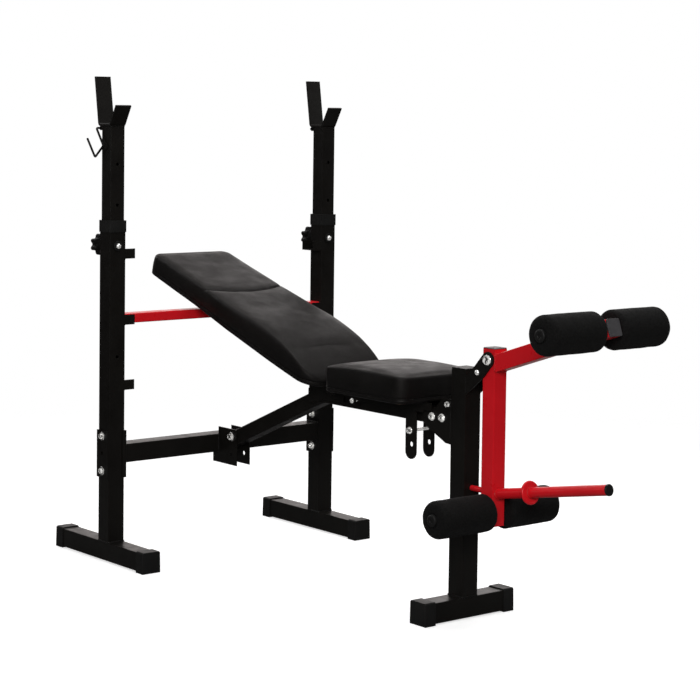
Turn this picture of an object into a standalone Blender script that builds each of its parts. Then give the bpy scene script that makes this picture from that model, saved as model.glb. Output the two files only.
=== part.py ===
"""Olympic-width bench press: telescoping bar posts, inclined backrest, seat and leg-curl lever.

+X runs from the bar posts (rear) towards the leg lever (front), +Y is the bench's left, +Z is up
and the floor is z = 0. Dimensions are in millimetres from the plane of the bar posts; mm() turns
them into metres, and the last lines move the origin to the middle of the footprint.
"""

import math

import bmesh
import bpy
from mathutils import Matrix, Vector

# ---------------------------------------------------------------- driving dimensions (mm)
MM = 0.001
X, Y, Z = 0, 1, 2
SIDES = (("right", -1.0), ("left", 1.0))
ORIGIN_X = 609.707            # middle of the footprint

GAP = 0.3                     # working gap between neighbouring pieces
WALL = 2.0                    # wall of the steel tubes
CUT_OVER = 1.0                # how far a cutter runs past the face it opens
CAP_WALL = 3.0                # thickness of the moulded end caps
BOLT_HOLE_R = 4.3
BRACKET_HOLE_R = 4.4
CLEVIS_HOLE_R = 5.3
PIVOT_HOLE_R = 6.3

# bar posts
POST_Y = 360.0                # half of the distance between the bar posts' centrelines
POST_HALF = 25.0              # half width of the outer square tube
POST_TOP = 900.0
CORNER = 2.4                  # outside corner radius of the 50 mm tube
BORE_CORNER = 2.5             # bore corner of the posts, crossbeam and front leg
FOOT_LOW, FOOT_HIGH = 3.0, 53.0
FOOT_BACK, FOOT_FRONT = -234.0, 193.0
WELD_LOW = FOOT_HIGH - 1.0    # uprights run this far into their floor tubes
WELD_BORE_LOW = FOOT_HIGH - 0.4
INNER_HALF = 22.0             # half width of the telescoping square tube
INNER_LOW, INNER_HIGH = 600.0, 1160.0
HOLE_PITCH = 108.0
LOCK_Z = 843.6                # height of the locking bolt
LOCK_SHANK_R = 4.0
LOCK_WASHER = 3.0             # thickness of the washer under the locking bolt
CRADLE_Z = (459.0, 633.0, 809.0)
CRADLE_H, CRADLE_WALL, CRADLE_REACH = 26.5, 3.0, 30.0
HOOK_X, HOOK_Z = -31.0, 1154.6    # axis of the safety hook

# crossbeam and support bar
CROSS_LOW, CROSS_HIGH, CROSS_Y = 263.5, 313.5, 332.0
BRACKET_LOW, BRACKET_HIGH = 225.0, 351.0
BRACKET_IN, BRACKET_OUT = 331.0, 388.3    # y of the bracket's inner and outer face
BRACKET_BOLT_X = -3.0
BRACKET_BOLT_Z = (243.0, 336.0)
BRACKET_BOLTS = [(BRACKET_BOLT_X, z) for z in BRACKET_BOLT_Z]
BRACKET_MIDDLE_HOLE = (BRACKET_BOLT_X, 290.0)
CLEVIS_BOLT = (82.0, 313.0)
CLEVIS_IN, CLEVIS_OUT = 20.4, 23.4
BAR_X, BAR_LOW, BAR_HIGH, BAR_Y = 20.0, 636.3, 661.8, 333.0

# main beam and front leg
BEAM_HALF = 20.0
BEAM_Z = 474.0                # centre of the level part of the main beam
BEAM_SLOPE = 0.4348
BEAM_BEND_X = 468.4
BEAM_START_X = 58.0
BEND_R = 90.0
LEG_X0, LEG_X1, LEG_TOP = 957.0, 1007.0, 597.0
LEG_X = (LEG_X0 + LEG_X1) / 2
FRONT_FOOT_Y = 144.0
GUSSET_BOLTS = ((892.0, 473.0), (927.0, 474.0), (946.0, 509.0))
GUSSET_IN, GUSSET_OUT = 20.3, 24.7
STRAP_IN, STRAP_OUT = 20.6, 24.6

# seat
SEAT_X0, SEAT_X1, SEAT_Y = 604.0, 890.0, 128.0
SEAT_BOTTOM, SEAT_RIM, SEAT_CROWN = 507.3, 574.0, 582.0
SEAT_SHOULDER = 9.0           # size of the slanted step at the ends of the seat's top
SEAT_HINGE = (605.0, 477.0)
HANGER_BOLT = (820.0, 430.0)
HANGER_HOLE = (825.0, 397.0)
WEB_IN, WEB_OUT = 30.6, 34.0
HANGER_IN, HANGER_OUT = 27.2, 30.9
SEAT_BOARD_INSET, SEAT_BOARD_CORNER = 12.0, 14.0
SEAT_BOARD_LOW, SEAT_BOARD_HIGH = 506.6, 516.6

# backrest
BACK_PIVOT = (538.0, 501.5)
PAD_SLOPE = 0.346             # backrest pad underside, z = PAD_Z0 - PAD_SLOPE * x
PAD_Z0 = 698.8
PAD_FOOT_X = 548.0            # lower end of the pad
PAD_LENGTH = 760.0
BACK_BOARD_LOW, BACK_BOARD_HIGH = (14.0, -112.0, 0.8), (PAD_LENGTH - 14, 112.0, 10.5)
BACK_BOARD_CORNER = 30.0
RAIL_IN, RAIL_OUT, RAIL_DEPTH, RAIL_END = 27.0, 47.0, 28.0, 680.0
STRIP_X = (90, 330, 600)      # lower edges of the cross strips between the rails
STRIP_WIDTH = 40

# leg lever
LEVER_PIVOT = (1078.0, 629.0)
LEVER_X = LEVER_PIVOT[0]
STOP_BOLT = (1045.0, 596.0)
LEVER_HALF, LEVER_LOW, LEVER_HIGH = 20.0, 238.0, 655.0
BEND_X = 1135.0               # x at which the lines of arm and horn are given
ARM_Z, ARM_SLOPE = 635.0, 0.33
ARM_START_X, ARM_END_X = 1084.0, 1443.0
HORN_Z, HORN_SLOPE, HORN_R = 322.0, 0.1835, 12.5
HORN_END_X = 1441.0
ROLLER_TUBE_R, ROLLER_BORE_R = 12.5, 11.0
UPPER_ROLLER, LOWER_ROLLER = (1406.5, 726.2), (1078.0, 269.9)
# label, centre, foam radius, plug radius, outer end in y, inner end in y on each side
ROLLERS = (
    ("upper", UPPER_ROLLER, 45.2, 15.0, 181.5, {"right": 21.5, "left": 34.0}),
    ("lower", LOWER_ROLLER, 44.1, 14.0, 183.5, {"right": 21.5, "left": 28.2}),
)

# ---------------------------------------------------------------- materials
PAINT = dict(color=(0.012, 0.010, 0.009), roughness=0.42)
RED = dict(color=(0.46, 0.010, 0.018), roughness=0.30)
PLASTIC = dict(color=(0.010, 0.010, 0.010), roughness=0.55)
ZINC = dict(color=(0.62, 0.61, 0.58), roughness=0.30, metallic=1.0)
FOAM = dict(color=(0.008, 0.008, 0.008), roughness=0.85)
VINYL = dict(color=(0.014, 0.013, 0.013), roughness=0.45)
PLYWOOD = dict(color=(0.26, 0.18, 0.11), roughness=0.80)


def make_material(name, color, roughness, metallic=0.0):
    material = bpy.data.materials.new(name)
    material.use_nodes = True
    shader = material.node_tree.nodes["Principled BSDF"]
    shader.inputs["Base Color"].default_value = (*color, 1.0)
    shader.inputs["Roughness"].default_value = roughness
    shader.inputs["Metallic"].default_value = metallic
    material.diffuse_color = (*color, 1.0)
    return material


# ---------------------------------------------------------------- scene
for old in list(bpy.data.objects):
    bpy.data.objects.remove(old, do_unlink=True)

PARTS = bpy.data.collections.new("bench_press")
CUTTERS = bpy.data.collections.new("bench_press_cutters")
bpy.context.scene.collection.children.link(PARTS)
bpy.context.scene.collection.children.link(CUTTERS)


# ---------------------------------------------------------------- solids
def mm(*values):
    return Vector(values) * MM


def finish(name, bm, transform=None):
    """A new helper object in the cutters collection, faces pointing out."""
    if transform is not None:
        bmesh.ops.transform(bm, matrix=transform, verts=bm.verts)
    bmesh.ops.recalc_face_normals(bm, faces=bm.faces)
    mesh = bpy.data.meshes.new(name)
    bm.to_mesh(mesh)
    bm.free()
    mesh.shade_smooth()
    mesh.set_sharp_from_angle(angle=math.radians(32))
    obj = bpy.data.objects.new(name, mesh)
    CUTTERS.objects.link(obj)
    obj.hide_render = True
    obj.display_type = "WIRE"
    return obj


def bar(low, high, axis=X, radius=0.0, segments=2, transform=None):
    """A rectangular bar between two corners, its edges along axis rounded."""
    low, high = mm(*low), mm(*high)
    bm = bmesh.new()
    bmesh.ops.create_cube(bm, size=1.0)
    bmesh.ops.scale(bm, vec=high - low, verts=bm.verts)
    bmesh.ops.translate(bm, vec=(high + low) / 2, verts=bm.verts)
    if radius:
        along = [e for e in bm.edges
                 if abs((e.verts[0].co - e.verts[1].co).normalized()[axis]) > 0.9]
        bmesh.ops.bevel(bm, geom=along, offset=radius * MM, segments=segments, profile=0.5,
                        affect="EDGES")
    return finish("bar", bm, transform)


def column(x, y, half, low, high, corner, segments=2):
    """An upright square bar centred on x, y."""
    return bar((x - half, y - half, low), (x + half, y + half, high), Z, corner, segments)


def square_tube(low, high, axis, corner=CORNER):
    """The outside of a tube and the cutter for its through bore."""
    bore_low = [v + WALL for v in low]
    bore_high = [v - WALL for v in high]
    bore_low[axis], bore_high[axis] = low[axis] - CUT_OVER, high[axis] + CUT_OVER
    outside = bar(low, high, axis, corner)
    return outside, bar(bore_low, bore_high, axis, max(corner - WALL, 0.5), 1)


def round_bar(start, end, radius, segments):
    """A cylinder between two points."""
    start, end = mm(*start), mm(*end)
    bm = bmesh.new()
    bmesh.ops.create_cone(bm, cap_ends=True, segments=segments, radius1=radius * MM,
                          radius2=radius * MM, depth=(end - start).length)
    turn = (end - start).to_track_quat("Z", "Y").to_matrix().to_4x4()
    return finish("round", bm, Matrix.Translation((start + end) / 2) @ turn)


def drills(axis, points, radius, low, high, segments=12):
    """One cutter of parallel drills along X or Y; points are the two other coordinates."""
    bm = bmesh.new()
    turn = Matrix.Rotation(math.pi / 2, 4, "Y" if axis == X else "X")
    for point in points:
        where = list(point)
        where.insert(axis, (low + high) / 2)
        bmesh.ops.create_cone(bm, cap_ends=True, segments=segments, radius1=radius * MM,
                              radius2=radius * MM, depth=(high - low) * MM,
                              matrix=Matrix.Translation(mm(*where)) @ turn)
    return finish("drill", bm)


def cross_drills(points, radius, reach=30.0, segments=12):
    """Drills across the bench, at (x, z) points."""
    return drills(Y, points, radius, -reach, reach, segments)


def arc(x, y, radius, first, last, steps):
    """Points on an arc, angles in degrees."""
    angles = [math.radians(first + (last - first) * i / steps) for i in range(steps + 1)]
    return [(x + radius * math.cos(t), y + radius * math.sin(t)) for t in angles]


def evaluated(source):
    """The evaluated shape of a temporary object as a welded bmesh; the object is removed."""
    CUTTERS.objects.link(source)
    bpy.context.view_layer.update()
    graph = bpy.context.evaluated_depsgraph_get()
    mesh = bpy.data.meshes.new_from_object(source.evaluated_get(graph))
    bm = bmesh.new()
    bm.from_mesh(mesh)
    bmesh.ops.transform(bm, matrix=source.matrix_world, verts=bm.verts)
    bmesh.ops.remove_doubles(bm, verts=bm.verts, dist=1e-6)
    bpy.data.meshes.remove(mesh)
    data = source.data
    store = bpy.data.meshes if source.type == "MESH" else bpy.data.curves
    bpy.data.objects.remove(source, do_unlink=True)
    store.remove(data)
    return bm


SIDE = Matrix(((1, 0, 0, 0), (0, 0, -1, 0), (0, 1, 0, 0), (0, 0, 0, 1)))    # outline in X and Z
PLAN = Matrix.Identity(4)                                                   # outline in X and Y
FRONT = Matrix(((0, 0, 1, 0), (1, 0, 0, 0), (0, 1, 0, 0), (0, 0, 0, 1)))    # outline in Y and Z


def plate(outline, low, high, plane=SIDE, radius=0.0, transform=None):
    """A flat outline given thickness from low to high along the axis it leaves out."""
    curve = bpy.data.curves.new("plate", "CURVE")
    curve.dimensions = "2D"
    curve.fill_mode = "BOTH"
    curve.extrude = (high - low) * MM / 2
    spline = curve.splines.new("POLY")
    spline.points.add(len(outline) - 1)
    for point, (x, y) in zip(spline.points, outline):
        point.co = (x * MM, y * MM, 0.0, 1.0)
    spline.use_cyclic_u = True
    source = bpy.data.objects.new("plate", curve)
    normal = (plane @ Vector((0, 0, 1, 0))).to_3d()
    shift = Vector([abs(c) for c in normal]) * ((low + high) * MM / 2)
    source.matrix_world = Matrix.Translation(shift) @ plane
    bm = evaluated(source)
    if radius:
        bmesh.ops.dissolve_limit(bm, angle_limit=math.radians(0.5), verts=bm.verts,
                                 edges=bm.edges)
        bm.normal_update()
        rims = [
            e for e in bm.edges
            if len(e.link_faces) == 2
            and sorted(abs(f.normal.dot(normal)) > 0.9 for f in e.link_faces) == [False, True]
            and e.calc_length() > 0.0001
        ]
        bmesh.ops.bevel(bm, geom=rims, offset=radius * MM, segments=2, profile=0.5,
                        affect="EDGES", clamp_overlap=True)
    return finish("plate", bm, transform)


def side_plate(outline, sign, near, far, transform=None):
    """An X-Z outline standing between two distances from the centre plane, on one side."""
    return plate(outline, *sorted((sign * near, sign * far)), transform=transform)


def turned(profile, start, direction, steps=24, closed=False):
    """A turned piece; profile is (radius, distance along the axis)."""
    mesh = bpy.data.meshes.new("turned")
    edges = [(i, i + 1) for i in range(len(profile) - 1)]
    if closed:
        edges.append((len(profile) - 1, 0))
    mesh.from_pydata([(r * MM, 0.0, z * MM) for r, z in profile], edges, [])
    source = bpy.data.objects.new("turned", mesh)
    screw = source.modifiers.new("Screw", "SCREW")
    screw.steps = screw.render_steps = steps
    screw.use_merge_vertices = True
    screw.merge_threshold = 1e-6
    bm = evaluated(source)
    turn = Vector(direction).to_track_quat("Z", "Y").to_matrix().to_4x4()
    return finish("turned", bm, Matrix.Translation(mm(*start)) @ turn)


def bent_wire(corners, radius, bend, steps=4):
    """A round wire through the corners, each inner corner eased over the length bend."""
    corners = [mm(*corner) for corner in corners]
    points = [corners[0]]
    for before, at, after in zip(corners, corners[1:], corners[2:]):
        first = at + (before - at).normalized() * bend * MM
        last = at + (after - at).normalized() * bend * MM
        for i in range(steps + 1):
            t = i / steps
            points.append(first * (1 - t) ** 2 + at * 2 * t * (1 - t) + last * t ** 2)
    points.append(corners[-1])
    wire = bpy.data.curves.new("wire", "CURVE")
    wire.dimensions = "3D"
    wire.bevel_depth = radius * MM
    wire.bevel_resolution = 2
    wire.use_fill_caps = True
    spline = wire.splines.new("POLY")
    spline.points.add(len(points) - 1)
    for point, where in zip(spline.points, points):
        point.co = (*where, 1.0)
    return finish("wire", evaluated(bpy.data.objects.new("wire", wire)))


# ---------------------------------------------------------------- pieces and joints
def boolean(target, other, operation):
    modifier = target.modifiers.new(operation.title(), "BOOLEAN")
    modifier.operation = operation
    modifier.object = other
    modifier.solver = "EXACT"


def attach(obj, parent):
    obj.parent = parent
    obj.matrix_parent_inverse = parent.matrix_world.inverted()


def part(name, material, solids, cuts=(), empty=None):
    """A named piece: the first solid joined with the others, then cut; empty is its joint."""
    body, *others = solids
    for other in others:
        boolean(body, other, "UNION")
    for cutter in cuts:
        boolean(body, cutter, "DIFFERENCE")
    CUTTERS.objects.unlink(body)
    PARTS.objects.link(body)
    body.name = name
    body.data.name = name
    body.hide_render = False
    body.display_type = "TEXTURED"
    body.data.materials.append(make_material(name, **material))
    if empty is not None:
        attach(body, empty)


def axis_empty(name, where, parent=None):
    empty = bpy.data.objects.new(name, None)
    empty.empty_display_size = 0.05
    empty.location = mm(*where)
    PARTS.objects.link(empty)
    bpy.context.view_layer.update()
    if parent is not None:
        attach(empty, parent)
        bpy.context.view_layer.update()
    return empty


def bolt(name, hole, seat_y, far_y, radius=4.0, head=6.5, washer=10.0, dome=False, empty=None):
    """Hex or dome bolt with nut across the bench at hole (x, z), clamping seat_y to far_y.

    head is the radius of head and nut, washer that of the washers (0 leaves them out).
    """
    x, z = hole
    seat, far = Vector((x, seat_y, z)), Vector((x, far_y, z))
    along = (far - seat).normalized()
    washer_height, head_height, nut_height = 1.6, 5.4, 6.6
    sunk = 0.4                # head and nut overlap their washers
    outer = GAP + washer_height
    solids = [round_bar(seat - along * (outer + 0.6), far + along * (outer + 9.4), radius, 8)]
    if washer:
        solids.append(round_bar(seat - along * outer, seat - along * GAP, washer, 14))
        solids.append(round_bar(far + along * GAP, far + along * outer, washer, 14))
    base = seat - along * (outer - sunk)
    if dome:
        height = head * 0.55
        profile = [(0, height), (head * 0.55, height * 0.86), (head * 0.88, height * 0.5),
                   (head, 0), (0, 0)]
        solids.append(turned(profile, base, -along, 16))
    else:
        solids.append(round_bar(base, base - along * head_height, head, 6))
    nut_base = far + along * (outer - sunk)
    solids.append(round_bar(nut_base, nut_base + along * nut_height, head, 6))
    part(name, ZINC, solids, empty=empty)


def end_cap(name, face, inward, axis, centre):
    """A moulded sleeve over the end of a floor tube along axis, flaring towards the floor."""
    length, high = 33.0, 56.0
    top, bottom = 26.4, 27.8  # half widths
    outline = [(-bottom, 0.0), (bottom, 0.0), (bottom, 6.0), (top + 0.3, high - 3.0),
               (top - 2.7, high), (-top + 2.7, high), (-top - 0.3, high - 3.0), (-bottom, 6.0)]
    shell = plate([(centre + across, z) for across, z in outline],
                  *sorted((face, face + inward * length)), FRONT if axis == X else SIDE)
    half = POST_HALF + GAP
    spans = [sorted((face + inward * CAP_WALL, face + inward * (length + CUT_OVER))),
             (centre - half, centre + half)]
    if axis == Y:
        spans.reverse()
    (x0, x1), (y0, y1) = spans
    core = bar((x0, y0, FOOT_LOW - GAP), (x1, y1, FOOT_HIGH + GAP), axis, CORNER)
    part(name, PLASTIC, [shell], [core])


# ---------------------------------------------------------------- bar posts
def upright_frame(side, sign):
    """Outer tube welded on its floor tube, with three open cradles on the inner face."""
    centre = sign * POST_Y
    post = column(0, centre, POST_HALF, WELD_LOW, POST_TOP, CORNER)
    post_bore = column(0, centre, POST_HALF - WALL, WELD_BORE_LOW, POST_TOP + CUT_OVER,
                       BORE_CORNER, 1)
    foot, foot_bore = square_tube(
        (FOOT_BACK + CAP_WALL + GAP, centre - POST_HALF, FOOT_LOW),
        (FOOT_FRONT - CAP_WALL - GAP, centre + POST_HALF, FOOT_HIGH), X)
    solids = [post, foot]
    outer, inner = POST_HALF, POST_HALF - CRADLE_WALL
    inner_face = POST_Y - POST_HALF
    for z in CRADLE_Z:
        top, floor = z + CRADLE_H, z + CRADLE_WALL
        cradle = [(-outer, z), (outer, z), (outer, top), (inner, top), (inner, floor),
                  (-inner, floor), (-inner, top), (-outer, top)]
        solids.append(side_plate(cradle, sign, inner_face + 1.0, inner_face - CRADLE_REACH))
    reach = POST_HALF + 1
    part(side + "_upright_frame", PAINT, solids, [
        post_bore, foot_bore,
        drills(X, [(centre, LOCK_Z)], BOLT_HOLE_R, -reach, reach),
        drills(X, [(centre, 549.0)], 4.5, 20, reach),
        drills(Y, BRACKET_BOLTS + [BRACKET_MIDDLE_HOLE], BRACKET_HOLE_R,
               centre - reach, centre + reach),
    ])
    end_cap(side + "_foot_cap_rear", FOOT_BACK, 1, X, centre)
    end_cap(side + "_foot_cap_front", FOOT_FRONT, -1, X, centre)


def post_collar(side, centre):
    """Moulded bush closing the top of the outer tube."""
    half, low, high = 26.8, 880, 911
    lip_low = 899
    part(side + "_post_collar", PLASTIC, [column(0, centre, half, low, high, 3.0)], [
        column(0, centre, POST_HALF + GAP, low - CUT_OVER, POST_TOP + GAP, CORNER),
        column(0, centre, INNER_HALF + GAP, lip_low, high + CUT_OVER, 1.8),
    ])


# bar catch of the telescoping post: x, z
CATCH_OUTLINE = [
    (-56, 1290.5), (-37.5, 1167), (-34.5, 1162), (-30, 1160), (15.5, 1160), (20, 1161.5),
    (23, 1165), (50, 1213.5), (45.6, 1215.9), (18.6, 1167.4), (15.5, 1165), (-29, 1165),
    (-32.6, 1167.7), (-51.06, 1291.2),
]


def telescoping_post(side, centre, slide):
    """Inner tube with the bar catch and the barrel of its safety hook."""
    catch_half, barrel_half = 24.0, 20
    tube = column(0, centre, INNER_HALF, INNER_LOW, INNER_HIGH + 1.2, 2.0)
    catch = plate(CATCH_OUTLINE, centre - catch_half, centre + catch_half)
    barrel = round_bar((HOOK_X, centre - barrel_half, HOOK_Z),
                       (HOOK_X, centre + barrel_half, HOOK_Z), 6.0, 14)
    reach = INNER_HALF + 1.5
    part(side + "_telescoping_post", PAINT, [tube, catch, barrel], [
        column(0, centre, INNER_HALF - WALL, INNER_LOW - CUT_OVER, INNER_HIGH + 0.5, 0.8, 1),
        drills(X, [(centre, LOCK_Z + HOLE_PITCH * k) for k in (-2, -1, 0, 1, 2)], 4.5,
               -reach, reach, 14),
        drills(Y, [(HOOK_X, HOOK_Z)], 3.1,
               centre - barrel_half - CUT_OVER, centre + barrel_half + CUT_OVER),
    ], slide)


def safety_hook(side, sign, slide):
    """Bent wire turning in the barrel below the catch."""
    centre = sign * POST_Y
    hook_axis = axis_empty(side + "_hook_axis", (HOOK_X, centre, HOOK_Z), slide)
    wire_y = centre + sign * 30.0
    corners = [(HOOK_X, centre - sign * 24.0, HOOK_Z), (HOOK_X, wire_y, HOOK_Z),
               (9, wire_y, 1113), (-37, wire_y, 1079), (-74, wire_y, 1126)]
    part(side + "_safety_hook", ZINC, [bent_wire(corners, radius=2.75, bend=6.5)],
         empty=hook_axis)


def post_lock(side, centre):
    """Locking bolt and washer on the front face, star knob on the rear one."""
    washer_x = POST_HALF + GAP
    head_x = washer_x + LOCK_WASHER + GAP
    shank_x = INNER_HALF + GAP
    head = turned([(0, 6.0), (3.6, 5.4), (6.6, 3.4), (8.0, 0), (0, 0)],
                  (head_x, centre, LOCK_Z), (1, 0, 0), 16)
    shank = round_bar((shank_x, centre, LOCK_Z), (head_x + 0.9, centre, LOCK_Z),
                      LOCK_SHANK_R, 12)
    part(side + "_locking_bolt", ZINC, [head, shank])
    ring = [(13.5, LOCK_WASHER), (13.5, 0.0), (4.3, 0.0), (4.3, LOCK_WASHER)]
    part(side + "_locking_washer", PLASTIC,
         [turned(ring, (washer_x, centre, LOCK_Z), (1, 0, 0), 20, True)])

    knob_axis = axis_empty(side + "_knob_axis", (-40, centre, LOCK_Z))
    lobes = []
    for i in range(28):
        t = 2 * math.pi * i / 28
        r = 25.4 + 3.6 * math.cos(7 * t)
        lobes.append((centre + r * math.cos(t), LOCK_Z + r * math.sin(t)))
    grip = plate(lobes, -68, -45, FRONT)
    hub_profile = [(0, 0), (16, 0), (20, -5), (20, -24), (13, -40), (13, -44), (0, -44)]
    hub = turned(hub_profile, (-70, centre, LOCK_Z), (-1, 0, 0), 16)
    stem = round_bar((-31, centre, LOCK_Z), (-shank_x, centre, LOCK_Z), LOCK_SHANK_R, 12)
    part(side + "_star_knob", PLASTIC, [hub, grip, stem], empty=knob_axis)


def bar_post(side, sign):
    centre = sign * POST_Y
    upright_frame(side, sign)
    post_collar(side, centre)
    slide = axis_empty(side + "_post_slide", (0, centre, LOCK_Z))
    telescoping_post(side, centre, slide)
    safety_hook(side, sign, slide)
    post_lock(side, centre)


# ---------------------------------------------------------------- crossbeam
# channel wrapped round the left post: x, y
CHANNEL_OUTLINE = [
    (25, BRACKET_OUT), (-28.3, BRACKET_OUT), (-28.3, BRACKET_IN), (28.3, BRACKET_IN),
    (28.3, 343), (25.3, 343), (25.3, 334.7), (-25.3, 334.7), (-25.3, 385.3), (25, 385.3),
]
# clevis ear for the lower end of the main beam: x, z
EAR_OUTLINE = [(0, 264.5), (24, 264.5), (24, 334), (107, 334), (107, 235), (0, 235)]


def crossbeam():
    solids = [bar((-POST_HALF, -CROSS_Y, CROSS_LOW), (POST_HALF, CROSS_Y, CROSS_HIGH), Y, CORNER)]
    for _, sign in SIDES:
        channel = [(x, sign * y) for x, y in CHANNEL_OUTLINE]
        solids.append(plate(channel, BRACKET_LOW, BRACKET_HIGH, PLAN))
    for _, sign in SIDES:
        solids.append(side_plate(EAR_OUTLINE, sign, CLEVIS_IN, CLEVIS_OUT))
    # the bore stops inside the tube, leaving its ends closed
    bore_half, bore_y = POST_HALF - WALL, CROSS_Y - 1
    cuts = [bar((-bore_half, -bore_y, CROSS_LOW + WALL), (bore_half, bore_y, CROSS_HIGH - WALL),
                Y, BORE_CORNER, 1)]
    for points, radius in ((BRACKET_BOLTS, BRACKET_HOLE_R), ([BRACKET_MIDDLE_HOLE], 5.0)):
        for _, sign in SIDES:
            cuts.append(drills(Y, points, radius, *sorted((sign * 329.5, sign * 390))))
    cuts.append(cross_drills([CLEVIS_BOLT], CLEVIS_HOLE_R, 25))
    cuts.append(cross_drills([(CLEVIS_BOLT[0], 264.0)], 6.0, 25))
    part("crossbeam", PAINT, solids, cuts)

    for side, sign in SIDES:
        for label, hole in zip(("lower", "upper"), BRACKET_BOLTS):
            bolt(f"{side}_crossbeam_bolt_{label}", hole, sign * BRACKET_OUT, sign * BRACKET_IN,
                 head=7.0, washer=11.0)
    bolt("clevis_bolt", CLEVIS_BOLT, -CLEVIS_OUT, CLEVIS_OUT, radius=5.0, head=8.8, washer=12.0)


def support_bar():
    """Lift-out bar under the backrest."""
    slide = axis_empty("support_bar_slide", (0, 0, BAR_LOW))
    outside, bore = square_tube((-BAR_X, -BAR_Y, BAR_LOW), (BAR_X, BAR_Y, BAR_HIGH), Y, 3.0)
    part("backrest_support_bar", RED, [outside], [bore], slide)


# ---------------------------------------------------------------- main beam
def beam_outline(half_depth, start, end):
    """Side outline of the bent beam: inclined, a bend of radius BEND_R, then level."""
    angle = math.atan(BEAM_SLOPE)
    centre_x = BEAM_BEND_X + BEND_R * math.tan(angle / 2)
    centre_z = BEAM_Z - BEND_R
    normal_x, normal_z = -math.sin(angle), math.cos(angle)
    start_z = BEAM_Z - (BEAM_BEND_X - start) * BEAM_SLOPE
    edges = []
    for offset in (half_depth, -half_depth):
        edge = [(start + normal_x * offset, start_z + normal_z * offset)]
        steps = 6
        for i in range(steps + 1):
            t = math.pi / 2 + angle * (1 - i / steps)
            edge.append((centre_x + (BEND_R + offset) * math.cos(t),
                         centre_z + (BEND_R + offset) * math.sin(t)))
        edge.append((end, BEAM_Z + offset))
        edges.append(edge)
    upper, lower = edges
    return upper + lower[::-1]


def main_beam():
    bore_half = BEAM_HALF - WALL
    beam = plate(beam_outline(BEAM_HALF, BEAM_START_X, LEG_X0 - GAP), -BEAM_HALF, BEAM_HALF,
                 radius=3.5)
    bore = plate(beam_outline(bore_half, BEAM_START_X - 5, LEG_X0 + 5), -bore_half, bore_half)
    # cheeks carrying the backrest hinge: x, z
    cheek = [(418, 446), (488, 466), (560, 466), (560, 488), *arc(*BACK_PIVOT, 9.5, 0, 150, 8),
             (490, 503), (418, 487)]
    cheeks = [side_plate(cheek, sign, 19.0, 25.0) for _, sign in SIDES]
    part("main_beam", PAINT, [beam] + cheeks, [
        bore,
        cross_drills([CLEVIS_BOLT], CLEVIS_HOLE_R),
        cross_drills([BACK_PIVOT, SEAT_HINGE, *GUSSET_BOLTS[:2]], BOLT_HOLE_R),
    ])


# ---------------------------------------------------------------- front leg
# gusset beside the main beam: x, z
GUSSET_OUTLINE = [(961, 413), (940, 415), (862, 452), (862, 490), (905, 496), (925, 520),
                  (961, 522)]


def front_leg():
    leg = column(LEG_X, 0, POST_HALF, WELD_LOW, LEG_TOP, CORNER)
    foot_end = FRONT_FOOT_Y - CAP_WALL - GAP
    foot, foot_bore = square_tube((LEG_X0, -foot_end, FOOT_LOW), (LEG_X1, foot_end, FOOT_HIGH), Y)
    leg_bore = column(LEG_X, 0, POST_HALF - WALL, WELD_BORE_LOW, LEG_TOP + CUT_OVER,
                      BORE_CORNER, 1)
    # strap reaching forward to the lever pivot: x, z
    strap = [(1002, 536), (1024, 553), (1067, 588), *arc(*LEVER_PIVOT, 19.0, -55, 135, 12),
             (1026, 600), (1002, 577)]
    solids = [leg, foot]
    for _, sign in SIDES:
        solids.append(side_plate(GUSSET_OUTLINE, sign, GUSSET_IN, GUSSET_OUT))
        solids.append(side_plate(strap, sign, STRAP_IN, STRAP_OUT))
    part("front_leg", PAINT, solids, [
        leg_bore, foot_bore,
        cross_drills(GUSSET_BOLTS, BOLT_HOLE_R),
        cross_drills([LEVER_PIVOT], PIVOT_HOLE_R, segments=14),
        cross_drills([STOP_BOLT], BOLT_HOLE_R),
    ])
    part("leg_top_cap", PLASTIC, [
        column(LEG_X, 0, POST_HALF, LEG_TOP + GAP, LEG_TOP + GAP + CAP_WALL, CORNER),
        column(LEG_X, 0, POST_HALF - 2.4, LEG_TOP - 12, LEG_TOP + 1, 2.0, 1),
    ])
    for side, sign in SIDES:
        end_cap("front_foot_cap_" + side, sign * FRONT_FOOT_Y, -sign, Y, LEG_X)
    for label, hole, washer in zip(("rear", "middle", "top"), GUSSET_BOLTS, (10.0, 10.0, 0)):
        bolt("gusset_bolt_" + label, hole, -GUSSET_OUT, GUSSET_OUT, head=7.0, washer=washer)


# ---------------------------------------------------------------- seat
def seat_frame(hinge):
    rear, front, top = 572, 868, 506
    solids = [bar((640, -WEB_OUT, 503), (680, WEB_OUT, top)),
              bar((800, -WEB_OUT, 503), (846, WEB_OUT, top))]
    web = [(rear, top), (rear, 486), *arc(*SEAT_HINGE, 11.0, 170, 350, 8), (618, 480),
           (front, 480), (872, 487), (897, 487), (897, top)]
    hanger = [(842, 505.5), (804, 505.5), *arc(823, 379, 19.0, 180, 360, 10)]
    for _, sign in SIDES:
        solids.append(side_plate(web, sign, WEB_IN, WEB_OUT))
        flange_y0, flange_y1 = sorted((sign * 22.0, sign * 33.5))
        solids.append(bar((rear, flange_y0, 503.2), (front, flange_y1, 505.8)))
        solids.append(side_plate(hanger, sign, HANGER_IN, HANGER_OUT))
    part("seat_frame", PAINT, solids, [
        cross_drills([SEAT_HINGE], BOLT_HOLE_R, 40),
        cross_drills([HANGER_BOLT], BOLT_HOLE_R, 40),
        cross_drills([HANGER_HOLE], 6.5, 40, 14),
    ], hinge)
    bolt("seat_hinge_bolt", SEAT_HINGE, -WEB_OUT, WEB_OUT, washer=0, dome=True)
    bolt("seat_hanger_bolt", HANGER_BOLT, -HANGER_OUT, HANGER_OUT, head=7.0, washer=8.5,
         empty=hinge)


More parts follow.
